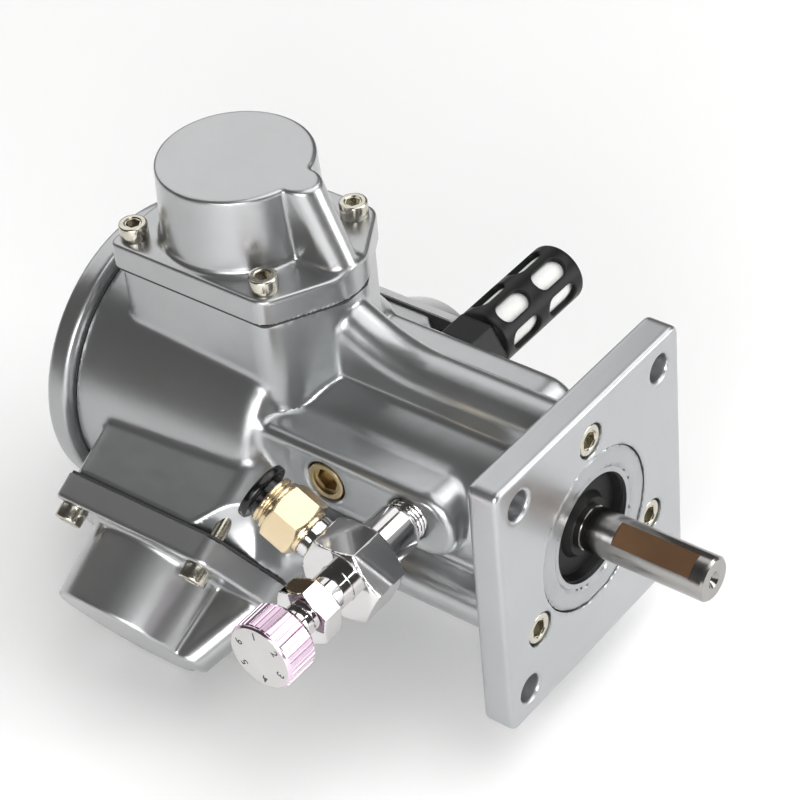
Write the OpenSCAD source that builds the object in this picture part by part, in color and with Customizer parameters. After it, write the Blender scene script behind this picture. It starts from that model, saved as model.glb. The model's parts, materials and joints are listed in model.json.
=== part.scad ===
// Three-cylinder radial piston air motor with a square flange and a keyless flatted shaft.
// Frame: origin on the flange's front face at the shaft axis, +X out along the shaft, +Z up
// through the first cylinder. Places called "setback" are measured back from the flange face.

/* [Shaft] */
// Diameter of the output shaft
shaft_d = 14; // [12:0.5:15]
// How far the shaft stands out of the flange
shaft_reach = 40; // [36:1:60]
// Where the milled flat starts, from the flange face
flat_start = 9.5; // [6:0.5:10]
// Length of the milled flat
flat_length = 26; // [16:1:26]
// Width of the milled flat
flat_width = 7.5; // [5:0.5:9]
// Depth the shaft is relieved between the flat's ends
band_depth = 0.02; // [0.01:0.01:0.05]
// Direction of the flat about the shaft, from straight up toward the inlet side
flat_turn = 30; // [0:5:90]

/* [Mounting flange] */
// Side of the square flange
flange_side = 90; // [88:1:110]
// Thickness of the flange
flange_thick = 10; // [9:0.5:14]
// Radius of the flange's corners
flange_corner_r = 3; // [2:0.5:5]
// Distance between the mounting holes
mount_pitch = 70; // [69:1:74]
// Diameter of the mounting holes
mount_hole_d = 9; // [7:0.5:9]
// Radius of the circle of the three flange screws
flange_screw_r = 33; // [32.5:0.5:34]

/* [Neck] */
// Diameter of the neck behind the flange
neck_d = 55; // [52:1:56]
// Diameter of the machined spigot that fills the flange's bore
spigot_d = 51.2; // [50:0.2:52]
// Height of the three air ducts above the shaft axis
duct_height = 32; // [31:0.5:33]
// Width of the ducts' cast ridges
duct_w = 16; // [14:0.5:17]
// Distance from the cylinder axes to where each ridge starts down
ridge_start = 30; // [28:0.5:32]
// Distance from the cylinder axes to each ridge's bend
ridge_bend = 56; // [54:0.5:58]

/* [Ports] */
// Height of the port blocks' centre line above the shaft axis
port_height = 8.4; // [6:0.2:9]
// Setback of the inlet ports
inlet_setback = 42.5; // [41:0.5:44]
// Setback of the exhaust ports
exhaust_setback = 72.5; // [70:0.5:74]
// Distance of the port faces from the middle plane
port_face = 33; // [32:0.5:36]
// Height of the port blocks
port_block_h = 23; // [21:0.5:24]
// Diameter of the port threads, G 1/4
port_thread_d = 13.2; // [12:0.2:14]

/* [Crankcase] */
// Setback of the cylinder axes
cylinder_setback = 122; // [120:1:130]
// Diameter of the crankcase at its front shoulder
case_front_d = 80.2; // [79:0.5:84]
// Diameter of the crankcase at its rear face
case_rear_d = 87; // [85:0.5:90]
// Diameter of the crank chamber
chamber_d = 72; // [70:0.5:73]
// Diameter of the rear cover
cover_d = 95; // [93:0.5:100]
// Thickness of the rear cover's disc
cover_thick = 8.1; // [7.5:0.1:10]

/* [Cylinders] */
// Bore of the cylinders
bore_d = 34; // [32:0.5:35]
// Stroke of the pistons
stroke = 18; // [14:0.5:18]
// Wall of the cylinder liners
liner_wall = 2.5; // [2:0.1:3]
// Height of the joint between casting and cylinder heads above the shaft axis
deck_height = 52.6; // [52:0.2:55]
// Thickness of the head gaskets
gasket_thick = 0.8; // [0.5:0.1:1]
// Thickness of the heads' plates
plate_thick = 8.6; // [7:0.2:10]
// Half width of the heads' plates
plate_half_w = 27.5; // [27:0.5:30]
// Diameter of the domes at the top
dome_d = 47.6; // [46:0.2:50]
// Height of the domes' tops above the shaft axis
dome_height = 87; // [86:0.5:92]
// Distance of the head screws from the cylinder axis along the shaft
head_screw_x = 24.75; // [24.5:0.25:25]
// Distance of the head screws from the cylinder axis across the shaft
head_screw_y = 21.1; // [21:0.1:22]

/* [Crank mechanism] */
// Diameter of the crank pin
crank_pin_d = 16; // [14:0.5:17]
// Distance between the crank webs
web_gap = 18; // [17:0.5:20]
// Thickness of the crank webs
web_thick = 6; // [5:0.5:7]
// Distance from the crank pin's axis to each flat of the orbit ring
ring_flat = 17; // [16.5:0.5:18]
// Width of the orbit ring along the shaft
ring_w = 12; // [11:0.5:13]

/* [Rotary valve] */
// Diameter of the rotary valve
valve_d = 30; // [28:0.5:32]
// Outer diameter of the valve sleeve
sleeve_d = 40; // [39:0.5:41]

/* [Bearings] */
// Number of balls in each bearing
ball_count = 8; // [6:1:8]

/* [Flow valve] */
// Width across the flats of the valve's body
valve_hex_af = 24.5; // [22:0.5:26]
// Diameter of the valve's collar at the port
collar_d = 15.3; // [14.5:0.1:17]
// Distance from the port face to the body's hexagon
collar_reach = 18; // [16:0.5:20]
// Length of the body's hexagon
valve_hex_l = 14; // [12:0.5:16]
// Width across the flats of the bonnet nut
bonnet_af = 17; // [16:0.5:19]
// Diameter of the knob
knob_d = 22; // [20:0.5:26]
// Length of the knob
knob_l = 12; // [10:0.5:16]
// Number of ridges on the knob
knob_ridges = 36; // [24:1:48]
// Travel of the needle from the shown setting to closed
needle_travel = 3; // [2:0.25:3.5]

/* [Tube fitting] */
// Outer diameter of the air tube that it takes
tube_d = 10; // [9:0.5:10.5]
// Width across the flats of the fitting's hexagon
fitting_af = 17; // [16.5:0.5:19]
// Length of the fitting's hexagon
fitting_hex_l = 11.5; // [10:0.5:14]
// Diameter of the release ring
release_d = 18; // [16:0.5:20]
// Upward tilt of the fitting's axis
fitting_tilt = 26; // [0:1:30]

/* [Silencer] */
// Diameter of the silencer's cage
silencer_d = 20; // [19:0.5:24]
// Distance from the port face to the silencer's end
silencer_reach = 54; // [50:1:60]
// Width across the flats of the silencer's hexagon
silencer_af = 19; // [17:0.5:19]
// Number of slots around the cage
slot_columns = 6; // [4:1:6]

/* [Hidden] */
$fn = 64;

// Clearances and small shared sizes
running = 0.03;
slide_gap = 0.05;
play = 0.3;
hole_gap = 0.05;
joint_groove = 0.3;
bend_proud = 0.1;
edge = 1;

// Bore, outer diameter and width of the ball bearings
front_bearing = [17, 35, 10];
main_bearing = [20, 47, 14];
rear_bearing = [15, 35, 11];

// Cylinders
cylinder_count = 3;
cylinder_step = 360 / cylinder_count;
crank_throw = stroke / 2;
bore_r = bore_d / 2;
liner_r = bore_r + liner_wall;
collar_l = 3;
collar_wall = 3;
plate_base = deck_height + gasket_thick;
plate_top = plate_base + plate_thick;
block_inset = 1;
roof = 4;
head_space = 5;
crown_top = dome_height - roof - head_space;
liner_top = crown_top + 1;
ring_corner = 5;
ring_corner_r = ring_flat + ring_corner;
liner_foot = ring_corner_r + crank_throw + 3;

// Plate outline about the cylinder axis: back edge, front corners and blunt tip
plate_back = head_screw_x + 5.25;
plate_front = head_screw_x + 3.85;
plate_tip = plate_front + 12.9;
tip_half_w = 5;
duct_hole_x = plate_tip - 7.5;
duct_bore_r = 3.5;

// Head screws M5, flange screws M6 and rear screws M5
m5 = [5, 8.7, 5, 4];
m6 = [6, 10, 6, 5];
head_screw_l = 22;
flange_screw_l = 20;
flange_screw_sink = 6.5;
rear_screw_l = 16;
rear_screw_count = 6;

// Places along the shaft, all from the cylinder axes or the flange face
cyl_x = -cylinder_setback;
front_web_x = cyl_x + web_gap / 2;
front_web_end = front_web_x + web_thick;
chamber_front = front_web_end + 1;
main_bearing_back = chamber_front + 2;
main_bearing_front = main_bearing_back + main_bearing[2];
rear_web_x = cyl_x - web_gap / 2;
rear_web_end = rear_web_x - web_thick;
rear_shoulder_l = 10;
rear_bearing_front = rear_web_end - rear_shoulder_l;
rear_bearing_back = rear_bearing_front - rear_bearing[2];
case_rear = rear_bearing_back - 4;
rear_gasket_thick = 0.5;
cover_front = case_rear - rear_gasket_thick;
cover_back = cover_front - cover_thick;
case_front = cyl_x + 27;
seal_depth = 9;
seal_r = front_bearing[1] / 2 + 1.5;
seal_l = 7;
front_bearing_front = -seal_depth - 1;
front_bearing_back = front_bearing_front - front_bearing[2];
valve_mid = -(inlet_setback + exhaust_setback) / 2;
sleeve_back = main_bearing_front + 2;
sleeve_r = sleeve_d / 2;
valve_r = valve_d / 2;
valve_shaft_r = 9;
gallery_w = 9;
gallery_depth = 3;
inlet_x = -inlet_setback;
exhaust_x = -exhaust_setback;
port_r = port_thread_d / 2;
port_depth = 12;
port_end_x = inlet_x + 5.5;
sleeve_front = inlet_x + gallery_w / 2 + 10;

// Crank mechanism
pin_r = crank_pin_d / 2;
main_journal_r = main_bearing[0] / 2;
rear_journal_r = rear_bearing[0] / 2;
counterweight_r = liner_foot - 4;
bush_wall = 1.5;
bush_r = pin_r + bush_wall;
groove_top = 2.5;
groove_h = 2;
groove_depth = 1.2;
foot_half = 8;
foot_h = 4;
leg_wall = 1.8;
leg_gap = 0.2;
skirt_h = crown_top - stroke - liner_foot - 2;
stem_r = 5.5;
piston_gap = 0.06;
ring_groove_h = 2.5;
gallery_ball_r = 1.95;
gallery_ball_x = rear_bearing_back + 2;

// Flow valve along -Y at the inlet port
hex_near = port_face + collar_reach + valve_hex_l;
hex_far = port_face + collar_reach;
bonnet_far = hex_near + 9;
bonnet_hex_l = 7.4;
bonnet_near = bonnet_far + bonnet_hex_l;
knob_gap = 6;
knob_far = bonnet_near + knob_gap;
knob_near = knob_far + knob_l;
needle_r = 3;
needle_seat_r = 2.4;
seat_y = hex_far + 1;
bonnet_sink = 3;
bonnet_stem_r = 5;
bonnet_neck_r = 6;
fitting_y = (hex_near + hex_far) / 2;
fitting_start = 16.5;
fitting_end = fitting_start + fitting_hex_l;
fitting_cut = 2 * fitting_end;
fitting_shoulder = 3.3;
release_gap = 1.8;
release_flange_l = 2.6;
tube_r = tube_d / 2;

// Silencer along +Y at the exhaust port
silencer_hex_l = 11;
silencer_wall = 2;
slot_l = 14;
slot_w = 6.6;
slot_rows = 2;

function unit(v) = v / norm(v);
function turn_between(a, b) = let (d = b - a) d > 180 ? d - 360 : d < -180 ? d + 360 : d;
// Arc of radius r that rounds the corner b between its neighbours a and c
function corner_arc(a, b, c, r, steps) =
    let (
        u = unit(a - b),
        w = unit(c - b),
        half = acos(u * w) / 2,
        middle = b + unit(u + w) * r / sin(half),
        first = b + u * r / tan(half) - middle,
        last = b + w * r / tan(half) - middle,
        from = atan2(first.y, first.x),
        sweep = turn_between(from, atan2(last.y, last.x))
    )
    [for (i = [0:steps]) middle + r * [cos(from + sweep * i / steps), sin(from + sweep * i / steps)]];
// Closed outline from [x, y, corner radius] points
function outline(points, steps = 6) =
    let (n = len(points))
    [for (i = [0:n - 1])
        let (
            b = [points[i].x, points[i].y],
            a = [points[(i + n - 1) % n].x, points[(i + n - 1) % n].y],
            c = [points[(i + 1) % n].x, points[(i + 1) % n].y],
            r = points[i].z
        )
        each r > 0 ? corner_arc(a, b, c, r, steps) : [b]];

// Height of the crank pin's throw along cylinder k in the modelled position
function lift(k) = crank_throw * cos(cylinder_step * k);

module x_rod(from, to, r) {
    translate([from, 0, 0])
        rotate([0, 90, 0])
            cylinder(h = to - from, r = r);
}

// Solid of revolution about the shaft axis from [radius, x, corner radius] points
module x_spin(points) {
    rotate([0, 90, 0])
        rotate_extrude($fn = 96)
            polygon(outline(points));
}

// Plate in the plane across the shaft, from x = from to x = to
module x_plate(from, to) {
    translate([from, 0, 0])
        rotate([90, 0, 90])
            linear_extrude(to - from)
                children();
}

// Slab with its outline in the X-Z plane, centred on y = 0
module y_slab(width) {
    rotate([90, 0, 0])
        linear_extrude(width, center = true)
            children();
}

// Places children on each cylinder's axis, with +Z pointing out
module at_cylinder(k) {
    rotate([cylinder_step * k, 0, 0])
        translate([cyl_x, 0, 0])
            children();
}

module at_head_screws() {
    for (sx = [-1, 1], sy = [-1, 1])
        translate([sx * head_screw_x, sy * head_screw_y, 0])
            children();
}

module at_flange_screws() {
    for (k = [0:cylinder_count - 1])
        rotate([cylinder_step * k, 0, 0])
            translate([0, 0, flange_screw_r])
                children();
}

module at_rear_screws() {
    for (k = [0:rear_screw_count - 1])
        rotate([(k + 0.5) * 360 / rear_screw_count, 0, 0])
            translate([0, 0, (chamber_d + case_rear_d) / 4])
                children();
}

// Socket-head screw along +Z, with its head's underside at z = 0
module socket_screw(size, length) {
    difference() {
        union() {
            translate([0, 0, -length])
                cylinder(h = length, d = size[0]);
            rotate_extrude()
                polygon(outline([[0, 0, 0], [size[1] / 2, 0, 0], [size[1] / 2, size[2], 0.6], [0, size[2], 0]]));
        }
        translate([0, 0, size[2] / 2])
            cylinder(h = size[2], d = size[3] / cos(30), $fn = 6);
    }
}

function plate_outline(inset) = [
    [-plate_back + inset, -plate_half_w + inset, 3],
    [plate_front - inset / 2, -plate_half_w + inset, 3],
    [plate_tip - inset, -tip_half_w, 2.5],
    [plate_tip - inset, tip_half_w, 2.5],
    [plate_front - inset / 2, plate_half_w - inset, 3],
    [-plate_back + inset, plate_half_w - inset, 3]
];

module cylinder_block(k) {
    at_cylinder(k)
        translate([0, 0, neck_d / 4])
            linear_extrude(deck_height - neck_d / 4)
                polygon(outline(plate_outline(block_inset)));
}

// Cast ridge over an air duct: from a cylinder block's tip down to the neck and on to the flange
module duct_ridge(k) {
    bend_x = cyl_x + ridge_bend;
    start_x = cyl_x + ridge_start;
    start_h = deck_height - duct_w / 2 + 0.4;
    slope = atan2(start_h - duct_height, bend_x - start_x);
    rotate([cylinder_step * k, 0, 0]) {
        y_slab(duct_w - 0.8)
            polygon([
                [start_x - 1, 0], [start_x - 1, start_h + tan(slope)], [bend_x, duct_height],
                [0, duct_height], [0, 0]
            ]);
        translate([0, 0, duct_height])
            x_rod(bend_x, 0, duct_w / 2);
        translate([bend_x, 0, duct_height]) {
            sphere(d = duct_w + bend_proud);
            rotate([0, slope - 90, 0])
                cylinder(h = norm([start_h - duct_height, bend_x - start_x]), d = duct_w);
        }
    }
}

module port_blocks() {
    y_slab(2 * port_face)
        union() {
            translate([port_end_x, port_height])
                circle(d = port_block_h);
            translate([case_front - 6, port_height - port_block_h / 2])
                square([port_end_x - case_front + 6, port_block_h]);
        }
}

module casting_outside() {
    difference() {
        union() {
            x_spin([
                [0, case_rear, 0], [case_rear_d / 2, case_rear, 0], [case_front_d / 2, case_front, 6],
                [neck_d / 2, case_front + 2, 4], [neck_d / 2, 0, 0], [0, 0, 0]
            ]);
            for (k = [0:cylinder_count - 1]) {
                cylinder_block(k);
                duct_ridge(k);
            }
            port_blocks();
        }
        x_rod(-flange_thick, 1, flange_side / 2);
    }
    x_spin([
        [0, -2 * flange_thick, 0], [spigot_d / 2, -2 * flange_thick, 0],
        [spigot_d / 2, -joint_groove, 0.6], [0, -joint_groove, 0]
    ]);
}

module casting_bores() {
    x_spin([
        [0, case_rear - 1, 0], [chamber_d / 2, case_rear - 1, 0], [chamber_d / 2, chamber_front, 3],
        [main_bearing[1] / 2, chamber_front, 0], [main_bearing[1] / 2, main_bearing_front, 0],
        [sleeve_r, main_bearing_front, 0], [sleeve_r, sleeve_front + 1, 0],
        [front_bearing[0] / 2 + 5, sleeve_front + 1, 0],
        [front_bearing[0] / 2 + 5, front_bearing_back, 0],
        [front_bearing[1] / 2, front_bearing_back, 0], [front_bearing[1] / 2, -seal_depth, 0],
        [seal_r, -seal_depth, 0], [seal_r, 1, 0], [0, 1, 0]
    ]);
    for (x = [inlet_x, exhaust_x])
        x_rod(x - gallery_w / 2, x + gallery_w / 2, sleeve_r + gallery_depth);
    for (k = [0:cylinder_count - 1]) {
        at_cylinder(k) {
            cylinder(h = deck_height + 1, r = liner_r + hole_gap);
            translate([0, 0, deck_height - collar_l])
                cylinder(h = collar_l + 1, r = liner_r + collar_wall + hole_gap);
            at_head_screws()
                translate([0, 0, plate_top - head_screw_l - 2])
                    cylinder(h = head_screw_l, r = m5[0] / 2 + hole_gap);
            translate([duct_hole_x, 0, duct_height - 1])
                cylinder(h = deck_height, r = duct_bore_r);
        }
        rotate([cylinder_step * k, 0, 0]) {
            translate([valve_mid, 0, 0])
                cylinder(h = duct_height, r = duct_bore_r);
            translate([0, 0, duct_height - 1])
                x_rod(cyl_x + duct_hole_x, valve_mid, duct_bore_r);
        }
    }
    at_flange_screws()
        x_rod(-flange_thick - flange_screw_l, 0, m6[0] / 2 + hole_gap);
    at_rear_screws()
        x_rod(case_rear - 1, case_rear + rear_screw_l, m5[0] / 2 + hole_gap);
    for (x = [inlet_x, exhaust_x], side = [-1, 1])
        translate([x, 0, port_height])
            rotate([-90 * side, 0, 0]) {
                cylinder(h = port_face + 1, r = port_r - 2);
                translate([0, 0, port_face - port_depth])
                    cylinder(h = port_depth + 1, r = port_r);
            }
}

module housing() {
    color("lightslategray")
        difference() {
            casting_outside();
            casting_bores();
        }
}

module mounting_flange() {
    half = flange_side / 2;
    color("silver")
        difference() {
            x_plate(-flange_thick, 0)
                difference() {
                    polygon(outline([
                        [-half, -half, flange_corner_r], [half, -half, flange_corner_r],
                        [half, half, flange_corner_r], [-half, half, flange_corner_r]
                    ]));
                    circle(r = spigot_d / 2 + joint_groove);
                }
            for (turn = [0:90:270])
                rotate([turn, 0, 0])
                    translate([0, 0, half])
                        rotate([0, 45, 0])
                            cube([edge * sqrt(2), flange_side + 1, edge * sqrt(2)], center = true);
            for (sy = [-1, 1], sz = [-1, 1])
                translate([0, sy * mount_pitch / 2, sz * mount_pitch / 2])
                    x_rod(-flange_thick - 1, 1, mount_hole_d / 2);
            at_flange_screws() {
                x_rod(-flange_thick - 1, 1, m6[0] / 2 + play);
                x_rod(-flange_screw_sink, 1, m6[1] / 2 + 0.5);
            }
        }
}

module flange_screws() {
    color("gainsboro")
        at_flange_screws()
            translate([-flange_screw_sink, 0, 0])
                rotate([0, 90, 0])
                    socket_screw(m6, flange_screw_l);
}

module rear_cover() {
    boss_front = rear_bearing_front + 1;
    boss_r = rear_bearing[1] / 2 + 4.5;
    color("lightslategray")
        difference() {
            x_spin([
                [0, cover_back, 0], [cover_d / 2, cover_back, 2], [cover_d / 2, cover_front, 1],
                [chamber_d / 2 - hole_gap, cover_front, 0], [chamber_d / 2 - hole_gap, cover_front + 4, 0],
                [boss_r, cover_front + 4, 0], [boss_r, boss_front, 0], [0, boss_front, 0]
            ]);
            x_rod(rear_bearing_back, 0, rear_bearing[1] / 2);
            x_rod(rear_bearing_back - 2, 0, rear_bearing[1] / 2 - 4);
            at_rear_screws() {
                x_rod(cover_back - 1, 0, m5[0] / 2 + play);
                x_rod(cover_back - 1, cover_back + m5[2] + 0.4, m5[1] / 2 + play);
            }
        }
}

module rear_gasket() {
    color("black")
        difference() {
            x_rod(cover_front, case_rear, case_rear_d / 2);
            x_rod(cover_front - 1, case_rear + 1, chamber_d / 2);
            at_rear_screws()
                x_rod(cover_front - 1, case_rear + 1, m5[0] / 2 + play);
        }
}

module rear_screws() {
    color("gainsboro")
        at_rear_screws()
            translate([cover_back + m5[2] + 0.4, 0, 0])
                rotate([0, -90, 0])
                    socket_screw(m5, rear_screw_l);
}

module cylinder_liner(k) {
    color("darkgray")
        at_cylinder(k)
            rotate_extrude()
                polygon([
                    [bore_r, liner_foot], [liner_r, liner_foot], [liner_r, deck_height - collar_l],
                    [liner_r + collar_wall, deck_height - collar_l],
                    [liner_r + collar_wall, deck_height], [liner_r, deck_height],
                    [liner_r, liner_top], [bore_r, liner_top]
                ]);
}

module head_gasket(k) {
    color("black")
        at_cylinder(k)
            translate([0, 0, deck_height])
                linear_extrude(gasket_thick)
                    difference() {
                        polygon(outline(plate_outline(0.4)));
                        circle(r = liner_r + hole_gap);
                        translate([duct_hole_x, 0])
                            circle(r = duct_bore_r);
                        at_head_screws()
                            circle(r = m5[0] / 2 + play);
                    }
}

// Flat-topped nose that carries the duct from the plate's tip to the top of the dome
module head_nose() {
    foot_x = duct_hole_x + 1.5;
    top_x = foot_x - 12;
    foot_r = 5.4;
    top_r = 6.5;
    rise = dome_height - plate_top;
    lean = atan2(foot_x - top_x, rise);
    intersection() {
        union() {
            translate([foot_x, 0, plate_top])
                rotate([0, -lean, 0])
                    translate([0, 0, -4])
                        cylinder(h = rise + 12, r1 = foot_r, r2 = top_r);
            y_slab(2 * foot_r)
                polygon([
                    [0, plate_top - 2], [foot_x, plate_top - 2],
                    [top_x, dome_height + 1], [0, dome_height + 1]
                ]);
        }
        translate([0, -plate_half_w, plate_base + 1])
            cube([plate_tip + 10, 2 * plate_half_w, dome_height - plate_base - 1]);
    }
}

module cylinder_head(k) {
    bore_top = liner_top + 0.2;
    color("lightgray")
        at_cylinder(k)
            difference() {
                union() {
                    translate([0, 0, plate_base])
                        linear_extrude(plate_thick)
                            polygon(outline(plate_outline(0)));
                    rotate_extrude($fn = 96)
                        polygon(outline([
                            [0, plate_base + 1, 0], [dome_d / 2 + 3, plate_base + 1, 0],
                            [dome_d / 2 + 3, plate_top, 0], [dome_d / 2 + 1, plate_top, 2],
                            [dome_d / 2, dome_height, 1.2], [0, dome_height, 0]
                        ]));
                    head_nose();
                }
                translate([0, 0, plate_base - 1])
                    cylinder(h = bore_top - plate_base + 1, r = liner_r + hole_gap);
                translate([0, 0, bore_top - 1])
                    cylinder(h = dome_height - roof - bore_top + 1, r = bore_r);
                at_head_screws()
                    translate([0, 0, plate_base - 1])
                        cylinder(h = plate_thick + 2, r = m5[0] / 2 + play);
                translate([duct_hole_x, 0, plate_base - 1])
                    cylinder(h = plate_thick + 1, r = duct_bore_r);
                translate([duct_hole_x, 0, plate_top - 2])
                    rotate([0, -26, 0])
                        cylinder(h = dome_height - plate_top - 2, r = duct_bore_r - 1);
                translate([bore_r - 2, 0, dome_height - roof - 2.4])
                    rotate([0, 90, 0])
                        cylinder(h = duct_hole_x - bore_r - 7, r = 2.4);
            }
}

module head_screws(k) {
    color("gainsboro")
        at_cylinder(k)
            at_head_screws()
                translate([0, 0, plate_top])
                    socket_screw(m5, head_screw_l);
}

module shaft_seal() {
    lip_r = shaft_d / 2 + running;
    front = -seal_depth + seal_l;
    color("black")
        x_spin([
            [seal_r, -seal_depth, 0], [seal_r, front, 0.5], [seal_r - 2, front, 0.5],
            [seal_r - 3, front - 2.5, 0], [lip_r + 3.5, front - 2.5, 0], [lip_r + 2, front - 0.5, 0],
            [lip_r, front - 1, 0], [lip_r, front - 2.5, 0], [lip_r + 1.5, front - 3.5, 0],
            [lip_r + 1.5, -seal_depth, 0]
        ]);
}

module seal_ring() {
    color("silver")
        difference() {
            x_rod(-seal_depth + seal_l, -joint_groove - 0.5, seal_r);
            x_rod(-seal_depth, 0, seal_r - 1.6);
        }
}

// Threaded plug with a hexagon socket, along +Z with its face at z = 0
module port_plug() {
    difference() {
        translate([0, 0, -port_depth + 2])
            cylinder(h = port_depth - 2.4, r = port_r);
        translate([0, 0, -5.5])
            cylinder(h = 6, d = 7 / cos(30), $fn = 6);
    }
}

module exhaust_plug() {
    color("darkkhaki")
        translate([exhaust_x, -port_face, port_height])
            rotate([90, 0, 0])
                port_plug();
}

module inlet_plug() {
    color("darkkhaki")
        translate([inlet_x, port_face, port_height])
            rotate([-90, 0, 0])
                port_plug();
}

module at_silencer() {
    translate([exhaust_x, port_face, port_height])
        rotate([-90, 0, 0])
            children();
}

module slot_shape() {
    square([slot_w, slot_l - slot_w], center = true);
    for (end = [-1, 1])
        translate([0, end * (slot_l - slot_w) / 2])
            circle(d = slot_w);
}

module silencer_cage() {
    cage_start = silencer_hex_l + 2;
    row_pitch = (silencer_reach - cage_start - 3) / slot_rows;
    inner_r = silencer_d / 2 - silencer_wall;
    color("dimgray")
        at_silencer()
            difference() {
                union() {
                    translate([0, 0, -port_depth + 2])
                        cylinder(h = port_depth, r = port_r);
                    cylinder(h = silencer_hex_l, d = silencer_af / cos(30), $fn = 6);
                    rotate_extrude()
                        polygon(outline([
                            [0, silencer_hex_l - 1, 0], [silencer_d / 2 - 1, silencer_hex_l - 1, 0],
                            [silencer_d / 2, cage_start, 0], [silencer_d / 2, silencer_reach, 1.2],
                            [silencer_d / 2 - 2.5, silencer_reach, 0],
                            [silencer_d / 2 - 3.2, silencer_reach - 0.7, 0], [0, silencer_reach - 0.7, 0]
                        ]));
                }
                translate([0, 0, cage_start])
                    cylinder(h = silencer_reach - cage_start - 2.5, r = inner_r);
                translate([0, 0, -port_depth])
                    cylinder(h = silencer_reach, r = port_r - 2.2);
                for (row = [0:slot_rows - 1], column = [0:slot_columns - 1])
                    rotate([0, 0, (column + 0.5) * 360 / slot_columns])
                        translate([0, -inner_r + 1, cage_start + 0.8 + (row + 0.5) * row_pitch])
                            rotate([90, 0, 0])
                                linear_extrude(silencer_wall + 3)
                                    slot_shape();
            }
}

module silencer_liner() {
    length = silencer_reach - silencer_hex_l - 4.5;
    outer_r = silencer_d / 2 - silencer_wall;
    color("white")
        at_silencer()
            translate([0, 0, silencer_hex_l + 2])
                difference() {
                    cylinder(h = length, r = outer_r);
                    translate([0, 0, -1])
                        cylinder(h = length - 2, r = port_r - 2.2);
                }
}

// Flow valve frame: on the inlet port's axis, +Z pointing out along -Y, z measured from the middle plane
module at_flow_valve() {
    translate([inlet_x, 0, port_height])
        rotate([90, 0, 0])
            children();
}

// Tube fitting frame: on the fitting's axis, +Z pointing out from the valve's axis
module at_fitting() {
    translate([inlet_x, -fitting_y, port_height])
        rotate([0, -90 + fitting_tilt, 0])
            children();
}

module valve_body() {
    color("whitesmoke")
        difference() {
            union() {
                at_flow_valve() {
                    translate([0, 0, port_face - port_depth + 2])
                        cylinder(h = port_depth + 2, r = port_r);
                    rotate_extrude()
                        polygon(outline([
                            [0, port_face + 3.4, 0], [collar_d / 2, port_face + 3.4, 0.8],
                            [collar_d / 2, hex_far + 1, 0], [0, hex_far + 1, 0]
                        ]));
                    intersection() {
                        translate([0, 0, hex_far])
                            rotate([0, 0, 30 - fitting_tilt])
                                cylinder(h = valve_hex_l, d = valve_hex_af / cos(30), $fn = 6);
                        rotate_extrude()
                            polygon([
                                [0, hex_far], [valve_hex_af / 2 - 0.3, hex_far],
                                [valve_hex_af / 2 + 3, hex_far + 2], [valve_hex_af / 2 + 3, hex_near - 2],
                                [valve_hex_af / 2 - 0.3, hex_near], [0, hex_near]
                            ]);
                    }
                }
                at_fitting()
                    cylinder(h = fitting_start - 0.8, r = 6.6);
            }
            at_flow_valve() {
                translate([0, 0, port_face - port_depth])
                    cylinder(h = port_depth + collar_reach + 2, r = needle_seat_r);
                translate([0, 0, seat_y])
                    cylinder(h = hex_near, r = 4);
                translate([0, 0, hex_near - bonnet_sink])
                    cylinder(h = 10, r = bonnet_neck_r);
            }
            at_fitting()
                cylinder(h = 30, r = 3);
        }
}

module valve_bonnet() {
    color("whitesmoke")
        at_flow_valve()
            difference() {
                union() {
                    translate([0, 0, hex_near - bonnet_sink])
                        cylinder(h = bonnet_far - hex_near + bonnet_sink + 1, r = bonnet_neck_r);
                    intersection() {
                        translate([0, 0, bonnet_far])
                            rotate([0, 0, 22.5])
                                cylinder(h = bonnet_hex_l, d = bonnet_af / cos(30), $fn = 6);
                        rotate_extrude()
                            polygon([
                                [0, bonnet_far], [bonnet_af / 2 - 0.2, bonnet_far],
                                [bonnet_af / 2 + 2, bonnet_far + 1.3], [bonnet_af / 2 + 2, bonnet_near - 1.3],
                                [bonnet_af / 2 - 0.2, bonnet_near], [0, bonnet_near]
                            ]);
                    }
                    translate([0, 0, bonnet_near - 1])
                        cylinder(h = knob_gap + 1.5, r = bonnet_stem_r);
                }
                translate([0, 0, hex_near - 8])
                    cylinder(h = knob_near, r = needle_r + running);
            }
}

module valve_needle() {
    tip = seat_y + needle_travel + needle_r - needle_seat_r + 0.1;
    color("silver")
        at_flow_valve()
            rotate_extrude()
                polygon([
                    [0, tip - 2.2], [0.8, tip - 2.2], [needle_r, tip], [needle_r, knob_near - 5],
                    [0, knob_near - 5]
                ]);
}

module valve_knob() {
    ridge_points = [for (i = [0:2 * knob_ridges - 1])
        (knob_d / 2 - (i % 2) * 0.5) * [cos(180 * i / knob_ridges), sin(180 * i / knob_ridges)]];
    color("whitesmoke")
        at_flow_valve()
            difference() {
                intersection() {
                    translate([0, 0, knob_far])
                        linear_extrude(knob_l)
                            polygon(ridge_points);
                    rotate_extrude()
                        polygon([
                            [0, knob_far], [knob_d / 2 - 1.2, knob_far],
                            [knob_d / 2 + bend_proud, knob_far + 1.8],
                            [knob_d / 2 + bend_proud, knob_near - 1.2],
                            [knob_d / 2 - 0.7, knob_near], [0, knob_near]
                        ]);
                }
                translate([0, 0, knob_far - 1])
                    cylinder(h = knob_l - 4 + slide_gap, r = needle_r + running);
                translate([0, 0, knob_far - 1])
                    cylinder(h = knob_gap, r = bonnet_stem_r + 1);
            }
}

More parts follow.
